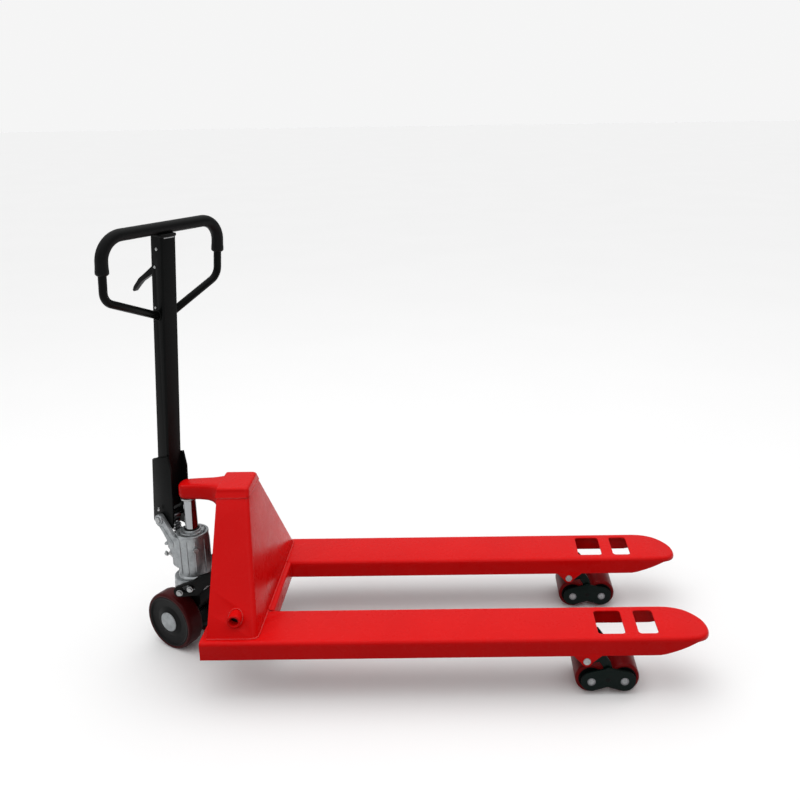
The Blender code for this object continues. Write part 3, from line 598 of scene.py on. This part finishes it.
def head_cap():
    def outline(off, z):
        y0 = 57.0 + off
        x0, x1 = -136 - off * 0.3, -47.8 - 0.156 * (z - 464.5) + min(0.0, off - 1.2)
        r = 10.0
        pts = (arc(x1 - r, -y0 + r, r, -90, 0, 6) + arc(x1 - r, y0 - r, r, 0, 90, 6)
               + arc(x0 + 5, y0 - 5, 5, 90, 180, 4) + arc(x0 + 5, -y0 + 5, 5, 180, 270, 4))
        return [(x, y, z) for x, y in pts]
    R = 7.0
    rg = [outline(9.6, 464.5), outline(9.8, 466.5)]
    rg += [outline(9.8 - 8.6 * k / 3, 466.5 + (480.5 - 466.5) * k / 3) for k in range(1, 4)]
    for k in range(1, 7):
        a = math.radians(90 * k / 6)
        rg.append(outline(1.2 - R * (1 - math.cos(a)), 480.5 + R * math.sin(a)))
    c = loft("head_cap_look", rg)
    shade(c.data, 30)
    return done(c, RED, "chassis", "head_cap")


def head_arm():
    """The arm over the ram: rounded section, narrow at the nose, with a throat under it."""
    tab = [  # x, half-width, underside, top
        (-112, 50, 392, 486.9), (-124, 51, 392, 487.1), (-132, 49, 398, 487.2), (-137, 45, 411, 487.2),
        (-143, 40, 423, 487.2), (-150, 35.5, 431, 487.1), (-159, 32, 436, 487.0), (-172, 30, 438.8, 486.9),
        (-190, 28.4, 440, 486.6), (-210, 27.0, 440, 486.2), (-228, 25.6, 440.2, 485.6), (-238, 23.6, 440.8, 484.8),
        (-245, 20.0, 442.2, 483.2), (-249.5, 15.0, 445, 480.5), (-251.8, 9.0, 449, 477)]
    rg = []
    for x, w, z0, z1 in tab:
        cz, hz = (z0 + z1) / 2, (z1 - z0) / 2
        ring = []
        for k in range(40):
            a = 2 * math.pi * k / 40 + math.pi / 40
            e = 0.42
            cy, cz2 = math.cos(a), math.sin(a)
            ring.append((x, w * math.copysign(abs(cy) ** e, cy), cz + hz * math.copysign(abs(cz2) ** e, cz2)))
        rg.append(ring)
    a = loft("head_arm_look", rg)
    su = a.modifiers.new("Sub", "SUBSURF")
    su.levels = su.render_levels = 1
    bake(a, 60)
    return done(a, RED, "chassis")


head_cap()
head_arm()
for side, s in SIDES:
    # sloped bush in the mast's side
    b = lathe("bush_%s_look" % side, soft_prof([(11.6, s * 212), (17.3, s * 212), (17.3, s * 251.5), (11.6, s * 251.5), (11.6, s * 212)], 1.6, 4),
              (-62, 0, 212), "Y", D, 56)
    shade(b.data)
    done(b, RED, "chassis", "shaft_bush_" + side)
    # its weld bead follows the slope of the panel
    pts = []
    for k in range(49):
        a = 2 * math.pi * k / 48
        x, z = -62 + 18.2 * math.cos(a), 212 + 18.2 * math.sin(a)
        y = 258 - 202 * (z - ZF) / (ZH - ZF)
        pts.append((x, s * (y + 0.6), z))
    weld("weld_bush_" + side, pts, 2.4, "chassis", seed=3 + s)
    pl = lathe("shaft_end_" + side, soft_prof([(0, s * 229), (10.9, s * 229), (10.9, s * 232.3), (9.6, s * 233.0), (3, s * 233.0), (2.4, s * 231.5), (0, s * 231.2)], 0.5),
               (-62, 0, 212), "Y", D, 40)
    shade(pl.data)
    done(pl, BLACK_LOW, "crank")
    # beads where the mast stands on the fork and base
    weld("weld_foot_" + side, [(-131, s * 259.0, 168.6), (-20, s * 259.0, 168.6), (-9, s * 256, 168.6), (-3, s * 249, 168.6), (-2.4, s * 128, 168.6)],
         2.5, "chassis", seed=7 + s)
    weld("weld_heel_" + side, [(-146, s * 125.2, 167.6), (-76, s * 125.2, 167.8)], 1.6, "chassis", seed=9 + s)
    # head seam beads
    weld("weld_cap_" + side, [(-134.5, s * 66.4, 464.4), (-60, s * 66.6, 464.4), (-53, s * 65.2, 464.4)], 1.7, "chassis", seed=11 + s)
weld("weld_cap_front", [(-48.2, -56, 464.8), (-48.2, 56, 464.8)], 1.7, "chassis", seed=13)
weld("weld_base_front", [(-2.4, -124, 168.8), (-2.4, 124, 168.8)], 2.4, "chassis", seed=14)

# ------------------------------------------------------------------ crank, rods, roller arms
soften("rocker_arm", "crank", BLACK_LOW, 1.6, 2)
soften("torsion_shaft", "crank", TURNED, 0.8, 2)
for side, s in SIDES:
    soften("crank_lug_" + side, "crank", BLACK_LOW, 1.2, 2)
    soften("push_rod_" + side, "rod_" + side, BLACK_LOW, 1.4, 2)
    soften("roller_arm_" + side, "arm_" + side, GREENBLACK, 1.2, 2)
    yc = s * FORK_C
    for tag, q in (("outer", s), ("inner", -s)):
        b = lathe("arm_bolt_%s_%s_look" % (side, tag),
                  soft_prof([(0, q * 55), (6, q * 55), (6, q * 74.9), (9.6, q * 74.9), (9.6, q * 77.4), (8.4, q * 78.5), (4.2, q * 78.5), (3.6, q * 77.3), (0, q * 77.2)], 0.5),
                  (828, yc, 104.5), "Y", D, 40)
        shade(b.data)
        done(b, ZINC, "chassis", "arm_bolt_%s_%s" % (side, tag))
        body = "bogie_" + side
        p = soften("bogie_plate_%s_%s" % (side, tag), body, GREENBLACK, 1.8, 3)
        for t, dx in (("rear", -42.4), ("front", 42.4)):
            for k, (nm, prof, mat) in enumerate((
                    ("boss", soft_prof([(8.6, q * 67.6), (15.5, q * 67.6), (14.6, q * 68.6), (8.6, q * 68.6)], 0.4), GREENBLACK),
                    ("end", soft_prof([(0, q * 60), (7.9, q * 60), (7.9, q * 68.7), (7.0, q * 69.3), (2.6, q * 69.3), (0, q * 68.5)], 0.4), TURNED),
                    ("clip", soft_prof([(7.9, q * 68.5), (10.6, q * 68.5), (10.6, q * 69.2), (7.9, q * 69.2)], 0.15), SPRING))):
                a = lathe("axle_%s_%s_%s_%s" % (nm, side, tag, t), prof, (884 + dx, yc, 40), "Y", D, 40)
                shade(a.data)
                done(a, mat, body)
        r = lathe("bogie_rivet_%s_%s" % (side, tag), soft_prof([(0, q * 67.6), (6.5, q * 67.6), (6.0, q * 68.8), (3.5, q * 69.3), (0, q * 69.4)], 0.5),
                  (884, yc, 44), "Y", D, 32)
        shade(r.data)
        done(r, BLACK_LOW, body)
    for t, dx in (("rear", -42.4), ("front", 42.4)):
        body = "roller_%s_%s" % (side, t)
        hl = 54.5
        tyre = lathe("roller_tyre_%s_%s_look" % (side, t),
                     soft_prof([(31.5, hl), (36.5, hl), (39.2, hl - 3.0), (40, hl - 6.5), (40, -hl + 6.5), (39.2, -hl + 3), (36.5, -hl), (31.5, -hl), (31.5, hl)], 1.6, 4),
                     (884 + dx, yc, 40), "Y", D, 72)
        shade(tyre.data)
        done(tyre, PU, body, "roller_tyre_%s_%s" % (side, t))
        core = lathe("roller_core_%s_%s_look" % (side, t),
                     soft_prof([(9, hl - 2), (14, hl - 2), (15, hl - 5), (27.5, hl - 5), (29, hl - 0.8), (31.3, hl - 0.8), (31.3, -hl + 0.8), (29, -hl + 0.8),
                                (27.5, -hl + 5), (15, -hl + 5), (14, -hl + 2), (9, -hl + 2), (9, hl - 2)], 0.6), (884 + dx, yc, 40), "Y", D, 56)
        shade(core.data)
        done(core, NYLON, body, "roller_core_%s_%s" % (side, t))
        ax = lathe("roller_axle_%s_%s_look" % (side, t), [(0, -60), (8, -60), (8, 60), (0, 60)], (884 + dx, yc, 40), "Y", D, 32)
        shade(ax.data)
        done(ax, TURNED, "bogie_" + side, "roller_axle_%s_%s" % (side, t))

for s in (-1, 1):
    bolt("rocker_tail_bolt_%d" % (s > 0), (AX - 30, s * 63.2, 184), "Y", s, 12, 5, "crank", mat=ZINC, washer=1.4)

# ------------------------------------------------------------------ swivel, ram and pump
hs = lathe("swivel_look", soft_prof([(33, 209), (46.5, 209), (48, 206), (48, 196), (46, 192), (46, 185), (43, 177), (33, 176), (33, 209)], 1.4), (AX, 0, 0), "Z", D, 72)
shade(hs.data)
done(hs, CAST, "carrier", "swivel_housing")
for s in (-1, 1):
    t = lathe("trunnion_%d" % (s > 0), soft_prof([(0, s * 42), (8, s * 42), (8, s * 65), (6.8, s * 66.3), (0, s * 66.3)], 0.6), (AX, 0, 196), "Y", D, 36)
    shade(t.data)
    done(t, TURNED, "carrier")
    bolt("trunnion_bolt_%d" % (s > 0), (AX, s * 66.2, 196), "Y", s, 11, 4.2, "carrier", mat=ZINC, washer=1.2)


def skirt():
    """Cast fairing on the operator's side: its lower rim slopes up towards the forks."""
    N = 44
    table = ((58.0, 50.5, 208.5), (60.5, 52.0, None), (56.5, 48.6, None), (54.0, 47.6, 203.5), (47.2, 47.2, 203.5), (47.2, 47.2, 209.2))
    vs = []
    bm = bmesh.new()
    for ax, ay, zt in table:
        ring = []
        for k in range(N + 1):
            a = math.radians(180 - 108 + 216 * k / N)
            z = zt if zt else 170.0 + 17.0 * (1 - math.cos(math.radians(108 * abs(k / N - 0.5) * 2)))
            ring.append(bm.verts.new((AX + ax * math.cos(a), ay * math.sin(a), z)))
        vs.append(ring)
    for i in range(len(vs)):
        a, b = vs[i], vs[(i + 1) % len(vs)]
        for k in range(N):
            bm.faces.new((a[k], a[k + 1], b[k + 1], b[k]))
    bm.faces.new([r[0] for r in vs])
    bm.faces.new([r[-1] for r in vs])
    o = mesh_obj("neck_skirt", bm)
    for ang in (180 + 28, 180 - 28):
        a = math.radians(ang)
        c = lathe("c", [(0, -20), (3.2, -20), (3.2, 20), (0, 20)], (0, 0, 0), "X", Matrix.Identity(4), 24)
        c.data.transform(D @ Matrix.Translation((AX + 57 * math.cos(a), 52 * math.sin(a), 194)) @ Matrix.Rotation(a, 4, "Z"))
        carve(o, c)
    bevel(o, 1.3, 3, 40)
    bake(o, 34)
    return done(o, CAST, "carrier")


skirt()

ram = lathe("ram_look", soft_prof([(0, 178), (15.5, 178), (17, 181), (17, 439), (14, 439.5), (14, 462), (0, 463)], 0.5), (AX, 0, 0), "Z", D, 64)
shade(ram.data)
done(ram, CHROME, "chassis", "ram_rod")
cl = lathe("ram_collar", soft_prof([(17.1, 434.5), (21.5, 434.5), (22.5, 436), (22.5, 440.6), (17.1, 441)], 0.6), (AX, 0, 0), "Z", D, 48)
shade(cl.data)
done(cl, ZINC, "chassis")

for q in (-1, 1):
    ep = ([(-8, 329), (-30, 334)] + arc(PIV_X, PIV_Z, 14.2, 40, 205, 12)
          + [(-86, 354), (-73, 338), (-58, 318), (-47, 296), (-40, 280), (-8, 280)])
    e = prism("ear_look_%d" % (q > 0), ep, *sorted((q * 32.8, q * 42.7)), "Y", ST)
    carve(e, lathe("c", [(0, -60), (8.6, -60), (8.6, 60), (0, 60)], (PIV_X, 0, PIV_Z), "Y", ST, 40))
    bevel(e, 1.8, 3, 30)
    bake(e)
    done(e, CAST, "pump")
    # rib that stiffens the ear
    er = prism("ear_rib_%d" % (q > 0), [(-74, 352), (-66, 352), (-30, 312), (-30, 300), (-38, 300)], *sorted((q * 42.0, q * 44.6)), "Y", ST)
    bevel(er, 1.2, 3, 30)
    bake(er)
    done(er, CAST, "pump")
p = soften("pump_body", "pump", CAST, 0, 1, 30)
side_cuts = []
for q in (-1, 1):
    side_cuts.append(prism("c", [(-120, q * 60), (-24, q * 60), (-44, q * 37), (-56, q * 27), (-66, q * 17), (-120, q * 17)][::q], 200, 302.4, "Z", ST))
    side_cuts.append(prism("c", [(-120, 302), (-50, 302), (-58, 320), (-72, 337), (-86, 353), (-97, 358), (-120, 358)],
                           *sorted((q * 24.5, q * 60)), "Y", ST))
carve(p, *side_cuts)
bevel(p, 1.6, 3, 30)
bake(p)
soften("axle_block", "pump", BLACK_LOW, 2.4, 3)
soften("steer_axle", "pump", TURNED, 0.8, 2)
soften("handle_pin", "pump", ZINC, 0.8, 2)
soften("filler_plug", "pump", ZINC, 0.5, 1)

# gland: clamp ring with notches, wiper and the cast rim round them
g = lathe("gland_look", soft_prof([(18.2, 334.6), (33, 334.6), (33, 340.5), (31.4, 342), (24, 342), (24, 345), (21.6, 346.6), (18.2, 346.6), (18.2, 334.6)], 0.7), (0, 0, 0), "Z", ST, 72)
cuts = []
for k in range(6):
    a = math.radians(60 * k + 12)
    c = prism("c", [(-3.2, -6), (3.2, -6), (3.2, 6), (-3.2, 6)], 338, 352, "Z", Matrix.Identity(4))
    c.data.transform(ST @ Matrix.Translation((33 * math.cos(a), 33 * math.sin(a), 0)) @ Matrix.Rotation(a + math.pi / 2, 4, "Z"))
    cuts.append(c)
carve(g, *cuts)
bevel(g, 0.5, 2, 40)
bake(g)
done(g, CAST, "pump", "gland_nut")
w = lathe("wiper_seal", soft_prof([(17.3, 345), (21, 345), (20.2, 349), (17.3, 350.2)], 0.5), (0, 0, 0), "Z", ST, 56)
shade(w.data)
done(w, NYLON, "pump")
rim = lathe("pump_rim", soft_prof([(35.5, 333), (43.4, 333), (43.4, 337), (42, 338.4), (37, 338.4), (35.5, 336.8), (35.5, 333)], 0.7), (0, 0, 0), "Z", ST, 72)
shade(rim.data)
done(rim, CAST, "pump")
# upright ribs on the cylinder
for k, ang in enumerate((-128, -98, -68, -38, 0, 38, 68, 98, 128)):
    a = math.radians(ang)
    F = ST @ Matrix.Rotation(a, 4, "Z")
    rb = prism("pump_rib_%d" % k, [(41.5, 222), (44.3, 228), (44.8, 240), (44.8, 312), (44.3, 322), (41.5, 328)], -1.7, 1.7, "Y", F)
    bevel(rb, 0.9, 2)
    bake(rb)
    done(rb, CAST, "pump")
# parting line and foot flange of the cylinder
fl = lathe("pump_foot_ring", soft_prof([(40, 209.4), (45.2, 209.4), (46.4, 211), (46.4, 215), (43.0, 219.5), (40, 219.5)], 1.0), (0, 0, 0), "Z", ST, 72)
shade(fl.data)
done(fl, CAST, "pump")
for s in (-1, 1):
    # bosses of the drawbar pin, grease nipple on the right
    e = lathe("ear_boss_%d" % (s > 0), soft_prof([(8.6, s * 43), (14.6, s * 43), (13.6, s * 46.4), (10.2, s * 47), (8.6, s * 46.4)], 0.8), (PIV_X, 0, PIV_Z), "Y", ST, 48)
    shade(e.data)
    done(e, CAST, "pump")
    pe = lathe("handle_pin_end_%d" % (s > 0), soft_prof([(0, s * 44), (8.0, s * 44), (8.0, s * 48.6), (6.8, s * 49.6), (2.2, s * 49.6), (1.6, s * 48.6), (0, s * 48.6)], 0.5), (PIV_X, 0, PIV_Z), "Y", ST, 40)
    shade(pe.data)
    done(pe, ZINC, "pump")
    np_ = lathe("grease_nipple_%d" % (s > 0), soft_prof([(0, 396), (4.2, 396), (4.2, 399.5), (2.6, 400.2), (2.2, 402), (3.0, 403.4), (2.2, 405.2), (0, 405.6)], 0.3), (PIV_X - 2, s * 38, 0), "Z", ST, 24)
    shade(np_.data)
    done(np_, ZINC, "pump")
    bolt("pump_cheek_bolt_%d" % (s > 0), (-60, s * 42.6, 274), "Y", s, 10, 4, "pump", ST, washer=1.0)
pb = lathe("plunger_boss_rim", soft_prof([(9.8, 301.5), (14.2, 301.5), (14.2, 303.8), (13.2, 304.8), (9.8, 304.8)], 0.5), (-58, 0, 0), "Z", ST, 48)
shade(pb.data)
done(pb, CAST, "pump")
soften("pump_plunger", "plunger", TURNED, 0.8, 2)
sp = [(-58 + 10.3 * math.cos(2 * math.pi * 5 * i / 160), 10.3 * math.sin(2 * math.pi * 5 * i / 160), 306.4 + (351.4 - 306.4) * i / 160) for i in range(161)]
done(tube("plunger_spring_look", sp, 1.35, ST, 10), SPRING, "plunger", "plunger_spring")

# release lever with its adjusting screw, lock nut and foot
soften("release_lever", "release", CAST, 1.6, 3)
REL = ST @ Matrix.Translation((-81, 0, 288))
ft = prism("release_foot", [(-14, -1), (-22, -7), (-25, -12), (-22.5, -16), (-15, -13), (-8, -6)], -11.5, 11.5, "Y", REL)
bevel(ft, 1.6, 3)
bake(ft)
done(ft, CAST, "release")
bolt("release_screw", (-16, 0, -12), "Z", -1, 9, 5, "release", REL)
ss = lathe("release_stud", soft_prof([(0, -30), (2.6, -30), (3.0, -28.5), (3.0, 2), (0, 2)], 0.4), (-16, 0, 0), "Z", REL, 24)
shade(ss.data)
done(ss, ZINC, "release")
bolt("release_nut", (-16, 0, -20), "Z", -1, 9, 5, "release", REL)
for s in (-1, 1):
    c = lathe("release_pin_end_%d" % (s > 0), soft_prof([(0, s * 8), (4.8, s * 9.3), (4.8, s * 11.4), (3.6, s * 12.2), (0, s * 12.2)], 0.4), (-81, 0, 288), "Y", ST, 28)
    shade(c.data)
    done(c, ZINC, "pump")
va = lathe("valve_body", soft_prof([(0, -96), (7.5, -96), (7.5, -84), (10.5, -84), (10.5, -60)], 0.8), (0, 0, 246), "X", ST, 32)
shade(va.data)
done(va, ZINC, "pump")
# ------------------------------------------------------------------ steer wheels
for side, s in SIDES:
    body = "wheel_" + side
    y0, y1 = s * 26.5, s * 76.5
    W = ST @ Matrix.Translation((-43, 0, 83))
    t = lathe("steer_tyre_%s_look" % side,
              soft_prof([(73.6, y1 - s * 1.0), (78, y1 - s * 0.4), (81.4, y1 - s * 3), (82.8, y1 - s * 7), (83, y1 - s * 14), (83, y0 + s * 14), (82.8, y0 + s * 7), (81.4, y0 + s * 3),
                         (78, y0 + s * 0.4), (73.6, y0 + s * 1.0), (73.6, y1 - s * 1.0)], 2.0, 4), (0, 0, 0), "Y", W, 96)
    shade(t.data)
    # the steer tyre wears the darkened red polyurethane, painted shade
    done(t, PU_SHADED, body, "steer_tyre_" + side)
    h = lathe("steer_hub_%s_look" % side,
              soft_prof([(10.6, y0 + s * 1), (22, y0 + s * 1), (24, y0 + s * 5), (60, y0 + s * 7), (66, y0 + s * 1), (73.4, y0 + s * 1), (73.4, y1 - s * 0.8), (69.5, y1 - s * 0.8),
                         (66.5, y1 - s * 4.5), (44, y1 - s * 5.5), (34, y1 - s * 2.2), (30, y1 - s * 0.6), (28.6, y1 - s * 0.6), (28.2, y1 - s * 7), (10.6, y1 - s * 7), (10.6, y0 + s * 1)], 1.6, 3),
              (0, 0, 0), "Y", W, 96)
    shade(h.data)
    done(h, NYLON, body, "steer_hub_" + side)
    c = lathe("hub_cap_%s_look" % side,
              soft_prof([(0, y1 - s * 4), (27.6, y1 - s * 4), (28.4, y1 - s * 2.2), (28.2, y1 + s * 0.2), (25.5, y1 + s * 1.6), (23, y1 + s * 1.2), (12, y1 + s * 2.6), (0, y1 + s * 3.0)], 1.4, 3),
              (0, 0, 0), "Y", W, 72)
    shade(c.data)
    done(c, CAST, body, "hub_cap_" + side)

# ------------------------------------------------------------------ drawbar
br = soften("handle_bracket", "handle", BLACK, 1.5, 3)
# the thrust roller takes the dark spring-wire finish instead of turned steel: painted shade of the gap it sits in
soften("thrust_roller", "thrust_wheel", SPRING, 0.9, 2)
tb = soften("handle_tube", "handle", BLACK, 1.2, 3, 25)
soften("pull_rod", "handle", ZINC, 0)
for s in (-1, 1):
    bead = [(-33.5, s * 30.8, 150), (-33.5, s * 30.8, 168), (-20, s * 30.8, 173.5), (0, s * 30.8, 181), (23, s * 30.8, 189.5)]
    weld("weld_bracket_%d" % (s > 0), [(x, s * 25.2, z) for x, y, z in bead[1:]], 1.5, "handle", H, mat=BLACK, seed=30 + s)
    lp = lathe("lever_pin_end_%d" % (s > 0), soft_prof([(0, s * 23), (3.9, s * 23), (3.9, s * 25.2), (2.9, s * 26.2), (0, s * 26.2)], 0.4), (-6, 0, 711), "Y", H, 24)
    shade(lp.data)
    done(lp, ZINC, "handle")
    # screws that hold the grip to the tube, and a rivet lower down
    sc = lathe("grip_screw_%d" % (s > 0), soft_prof([(0, s * 23.5), (4.4, s * 24), (4.2, s * 25.6), (2.6, s * 26.3), (0, s * 26.4)], 0.4), (2, 0, 759), "Y", H, 28)
    shade(sc.data)
    done(sc, ZINC, "handle")
    rv = lathe("tube_rivet_%d" % (s > 0), soft_prof([(0, s * 23.5), (3.6, s * 24), (3.2, s * 25.4), (0, s * 26)], 0.4), (-8, 0, 603), "Y", H, 24)
    shade(rv.data)
    done(rv, ZINC, "handle")
lpn = lathe("lever_pin_look", [(0, -24), (4, -24), (4, 24), (0, 24)], (-6, 0, 711), "Y", H, 28)
shade(lpn.data)
done(lpn, ZINC, "handle", "lever_pin")


def fillet(points, radii, n=12):
    out = [Vector(points[0])]
    for i in range(1, len(points) - 1):
        p0, p1, p2 = (Vector(p) for p in points[i - 1:i + 2])
        a, b = (p0 - p1).normalized(), (p2 - p1).normalized()
        half = a.angle(b) / 2
        k = radii[i - 1] / math.tan(half)
        c = p1 + (a + b).normalized() * (radii[i - 1] / math.sin(half))
        s0, s1 = p1 + a * k - c, p1 + b * k - c
        tot = s0.angle(s1)
        for j in range(n + 1):
            t = j / n
            out.append(c + (s0 * math.sin((1 - t) * tot) + s1 * math.sin(t * tot)) / math.sin(tot))
    out.append(Vector(points[-1]))
    return out


lo = fillet([(0, -22, 582.1), (0, -188, 653), (0, -190, 811), (0, 190, 811), (0, 188, 653), (0, 22, 582.1)], [38, 58, 58, 38], 14)
done(tube("handle_loop_look", lo, 10.2, H, 32), BLACK, "handle", "handle_loop")
gp = fillet([(0, -188.9, 724), (0, -190, 811), (0, 190, 811), (0, 188.9, 724)], [58, 58], 18)
dense = []
for a, b in zip(gp, gp[1:]):
    k = max(1, int((b - a).length / 6))
    dense += [a.lerp(b, i / k) for i in range(k)]
dense.append(gp[-1])
total = sum((b - a).length for a, b in zip(dense, dense[1:]))
rad, d = [], 0.0
for i, q in enumerate(dense):
    if i:
        d += (q - dense[i - 1]).length
    e = min(d, total - d)
    r = 15.6
    if e < 10:
        r = 16.4 - 0.0 * e
    elif e < 16:
        r = 16.4 - 0.8 * (e - 10) / 6
    rad.append(r)
gr = tube("grip_look", dense, rad, H, 36, squash=(1.0, 1.0))
done(gr, GRIP, "handle", "grip_sleeve")
for s in (-1, 1):
    w = [(0 + 11.6 * math.cos(a), s * 25.6, 583.5 + 12.6 * math.sin(a)) for a in [2 * math.pi * k / 30 for k in range(31)]]
    weld("weld_loop_%d" % (s > 0), w, 1.9, "handle", H, mat=BLACK, seed=20 + s)
cap = prism("tube_cap", [(-21.6, 25.0), (21.6, 25.0), (21.6, -25.0), (-21.6, -25.0)], 790, 798, "Z", H)
bevel(cap, 2.2, 3)
bake(cap)
done(cap, GRIP, "handle")
st = prism("grip_clamp", [(-22.2, -17), (22.2, -17), (22.2, 17), (-22.2, 17)], 787.5, 790.5, "Z", H)
bevel(st, 0.8, 2)
bake(st)
done(st, ZINC, "handle")
soften("control_lever", "finger_lever", BLACK, 2.4, 3)

for node, mat in (("thrust_roller", TURNED),):
    pass

# ------------------------------------------------------------------ floor, light, camera
fm, nt, b = new_mat("studio_floor", (0.90, 0.90, 0.90), 1.0, 0.0, 0.0)
nt.links.new(ramp(nt, tex(nt, "ShaderNodeTexNoise", 1.3, 3), [(0.3, (0.935, 0.935, 0.935)), (0.7, (0.945, 0.945, 0.945))]), b.inputs["Base Color"])
bm = bmesh.new()
bmesh.ops.create_grid(bm, x_segments=1, y_segments=1, size=40)
fme = bpy.data.meshes.new("studio_floor")
bm.to_mesh(fme)
bm.free()
floor = bpy.data.objects.new("studio_floor", fme)
floor.visible_diffuse = False
fme.materials.append(fm)
coll.objects.link(floor)

world = bpy.data.worlds.new("studio")
bpy.context.scene.world = world
world.use_nodes = True
wt = world.node_tree
bg = wt.nodes["Background"]
lp = wt.nodes.new("ShaderNodeLightPath")
mx = wt.nodes.new("ShaderNodeMixShader")
bg2 = wt.nodes.new("ShaderNodeBackground")
# soft room: bright ceiling, dim walls, a little light back from the ground
tc = wt.nodes.new("ShaderNodeTexCoord")
sx = wt.nodes.new("ShaderNodeSeparateXYZ")
wt.links.new(tc.outputs["Generated"], sx.inputs[0])
up = wt.nodes.new("ShaderNodeMapRange")
wt.links.new(sx.outputs["Z"], up.inputs["Value"])
for n, v in (("From Min", 0.0), ("From Max", 1.0), ("To Min", 0.12), ("To Max", 1.36)):
    up.inputs[n].default_value = v
bg.inputs["Color"].default_value = (1, 1, 1, 1)
wt.links.new(up.outputs["Result"], bg.inputs["Strength"])
bg2.inputs["Color"].default_value = (1, 1, 1, 1)
bg2.inputs["Strength"].default_value = 0.915
wt.links.new(lp.outputs["Is Camera Ray"], mx.inputs[0])
wt.links.new(bg.outputs[0], mx.inputs[1])
wt.links.new(bg2.outputs[0], mx.inputs[2])
wt.links.new(mx.outputs[0], wt.nodes["World Output"].inputs[0])


def area(name, loc, target, size, power, shape=(1, 1)):
    l = bpy.data.lights.new(name, "AREA")
    l.shape = "RECTANGLE"
    l.size, l.size_y = size * shape[0], size * shape[1]
    l.energy = power
    o = bpy.data.objects.new(name, l)
    coll.objects.link(o)
    o.location = loc
    o.rotation_euler = (Vector(target) - Vector(loc)).to_track_quat("-Z", "Y").to_euler()
    return o


area("top_softbox", (0.1, 0.4, 3.6), (0.0, 0.0, 0.2), 3.2, 22, (1.3, 1.0))
area("left_strip", (-2.6, -1.2, 1.8), (-0.4, 0.0, 0.5), 1.4, 7, (0.5, 1.5))
area("front_fill", (0.6, -3.4, 1.9), (0.0, 0.0, 0.4), 2.2, 6)

cam = bpy.data.cameras.new("camera")
cam.sensor_width = 36.0
cam.lens = 899.6 / 800 * 36.0
cam.shift_x = (400 - 460.5) / 800
cam.shift_y = (319.9 - 400) / 800
cam.clip_end = 200
co = bpy.data.objects.new("camera", cam)
coll.objects.link(co)
yaw, pitch, roll = -0.00528, 0.2482, 0.0150
fwd = Vector((math.sin(yaw) * math.cos(pitch), math.cos(yaw) * math.cos(pitch), -math.sin(pitch)))
right = Vector((math.cos(yaw), -math.sin(yaw), 0))
down = fwd.cross(right)
r2 = right * math.cos(roll) + down * math.sin(roll)
d2 = -right * math.sin(roll) + down * math.cos(roll)
rot = Matrix((r2, -d2, -fwd)).transposed()
co.matrix_world = Matrix.Translation(((532.5 - ORIGIN_X) * MM, -2.2616, 1.5001)) @ rot.to_4x4()
bpy.context.scene.camera = co
bpy.context.scene.view_settings.view_transform = "Standard"
bpy.context.scene.view_settings.look = "None"
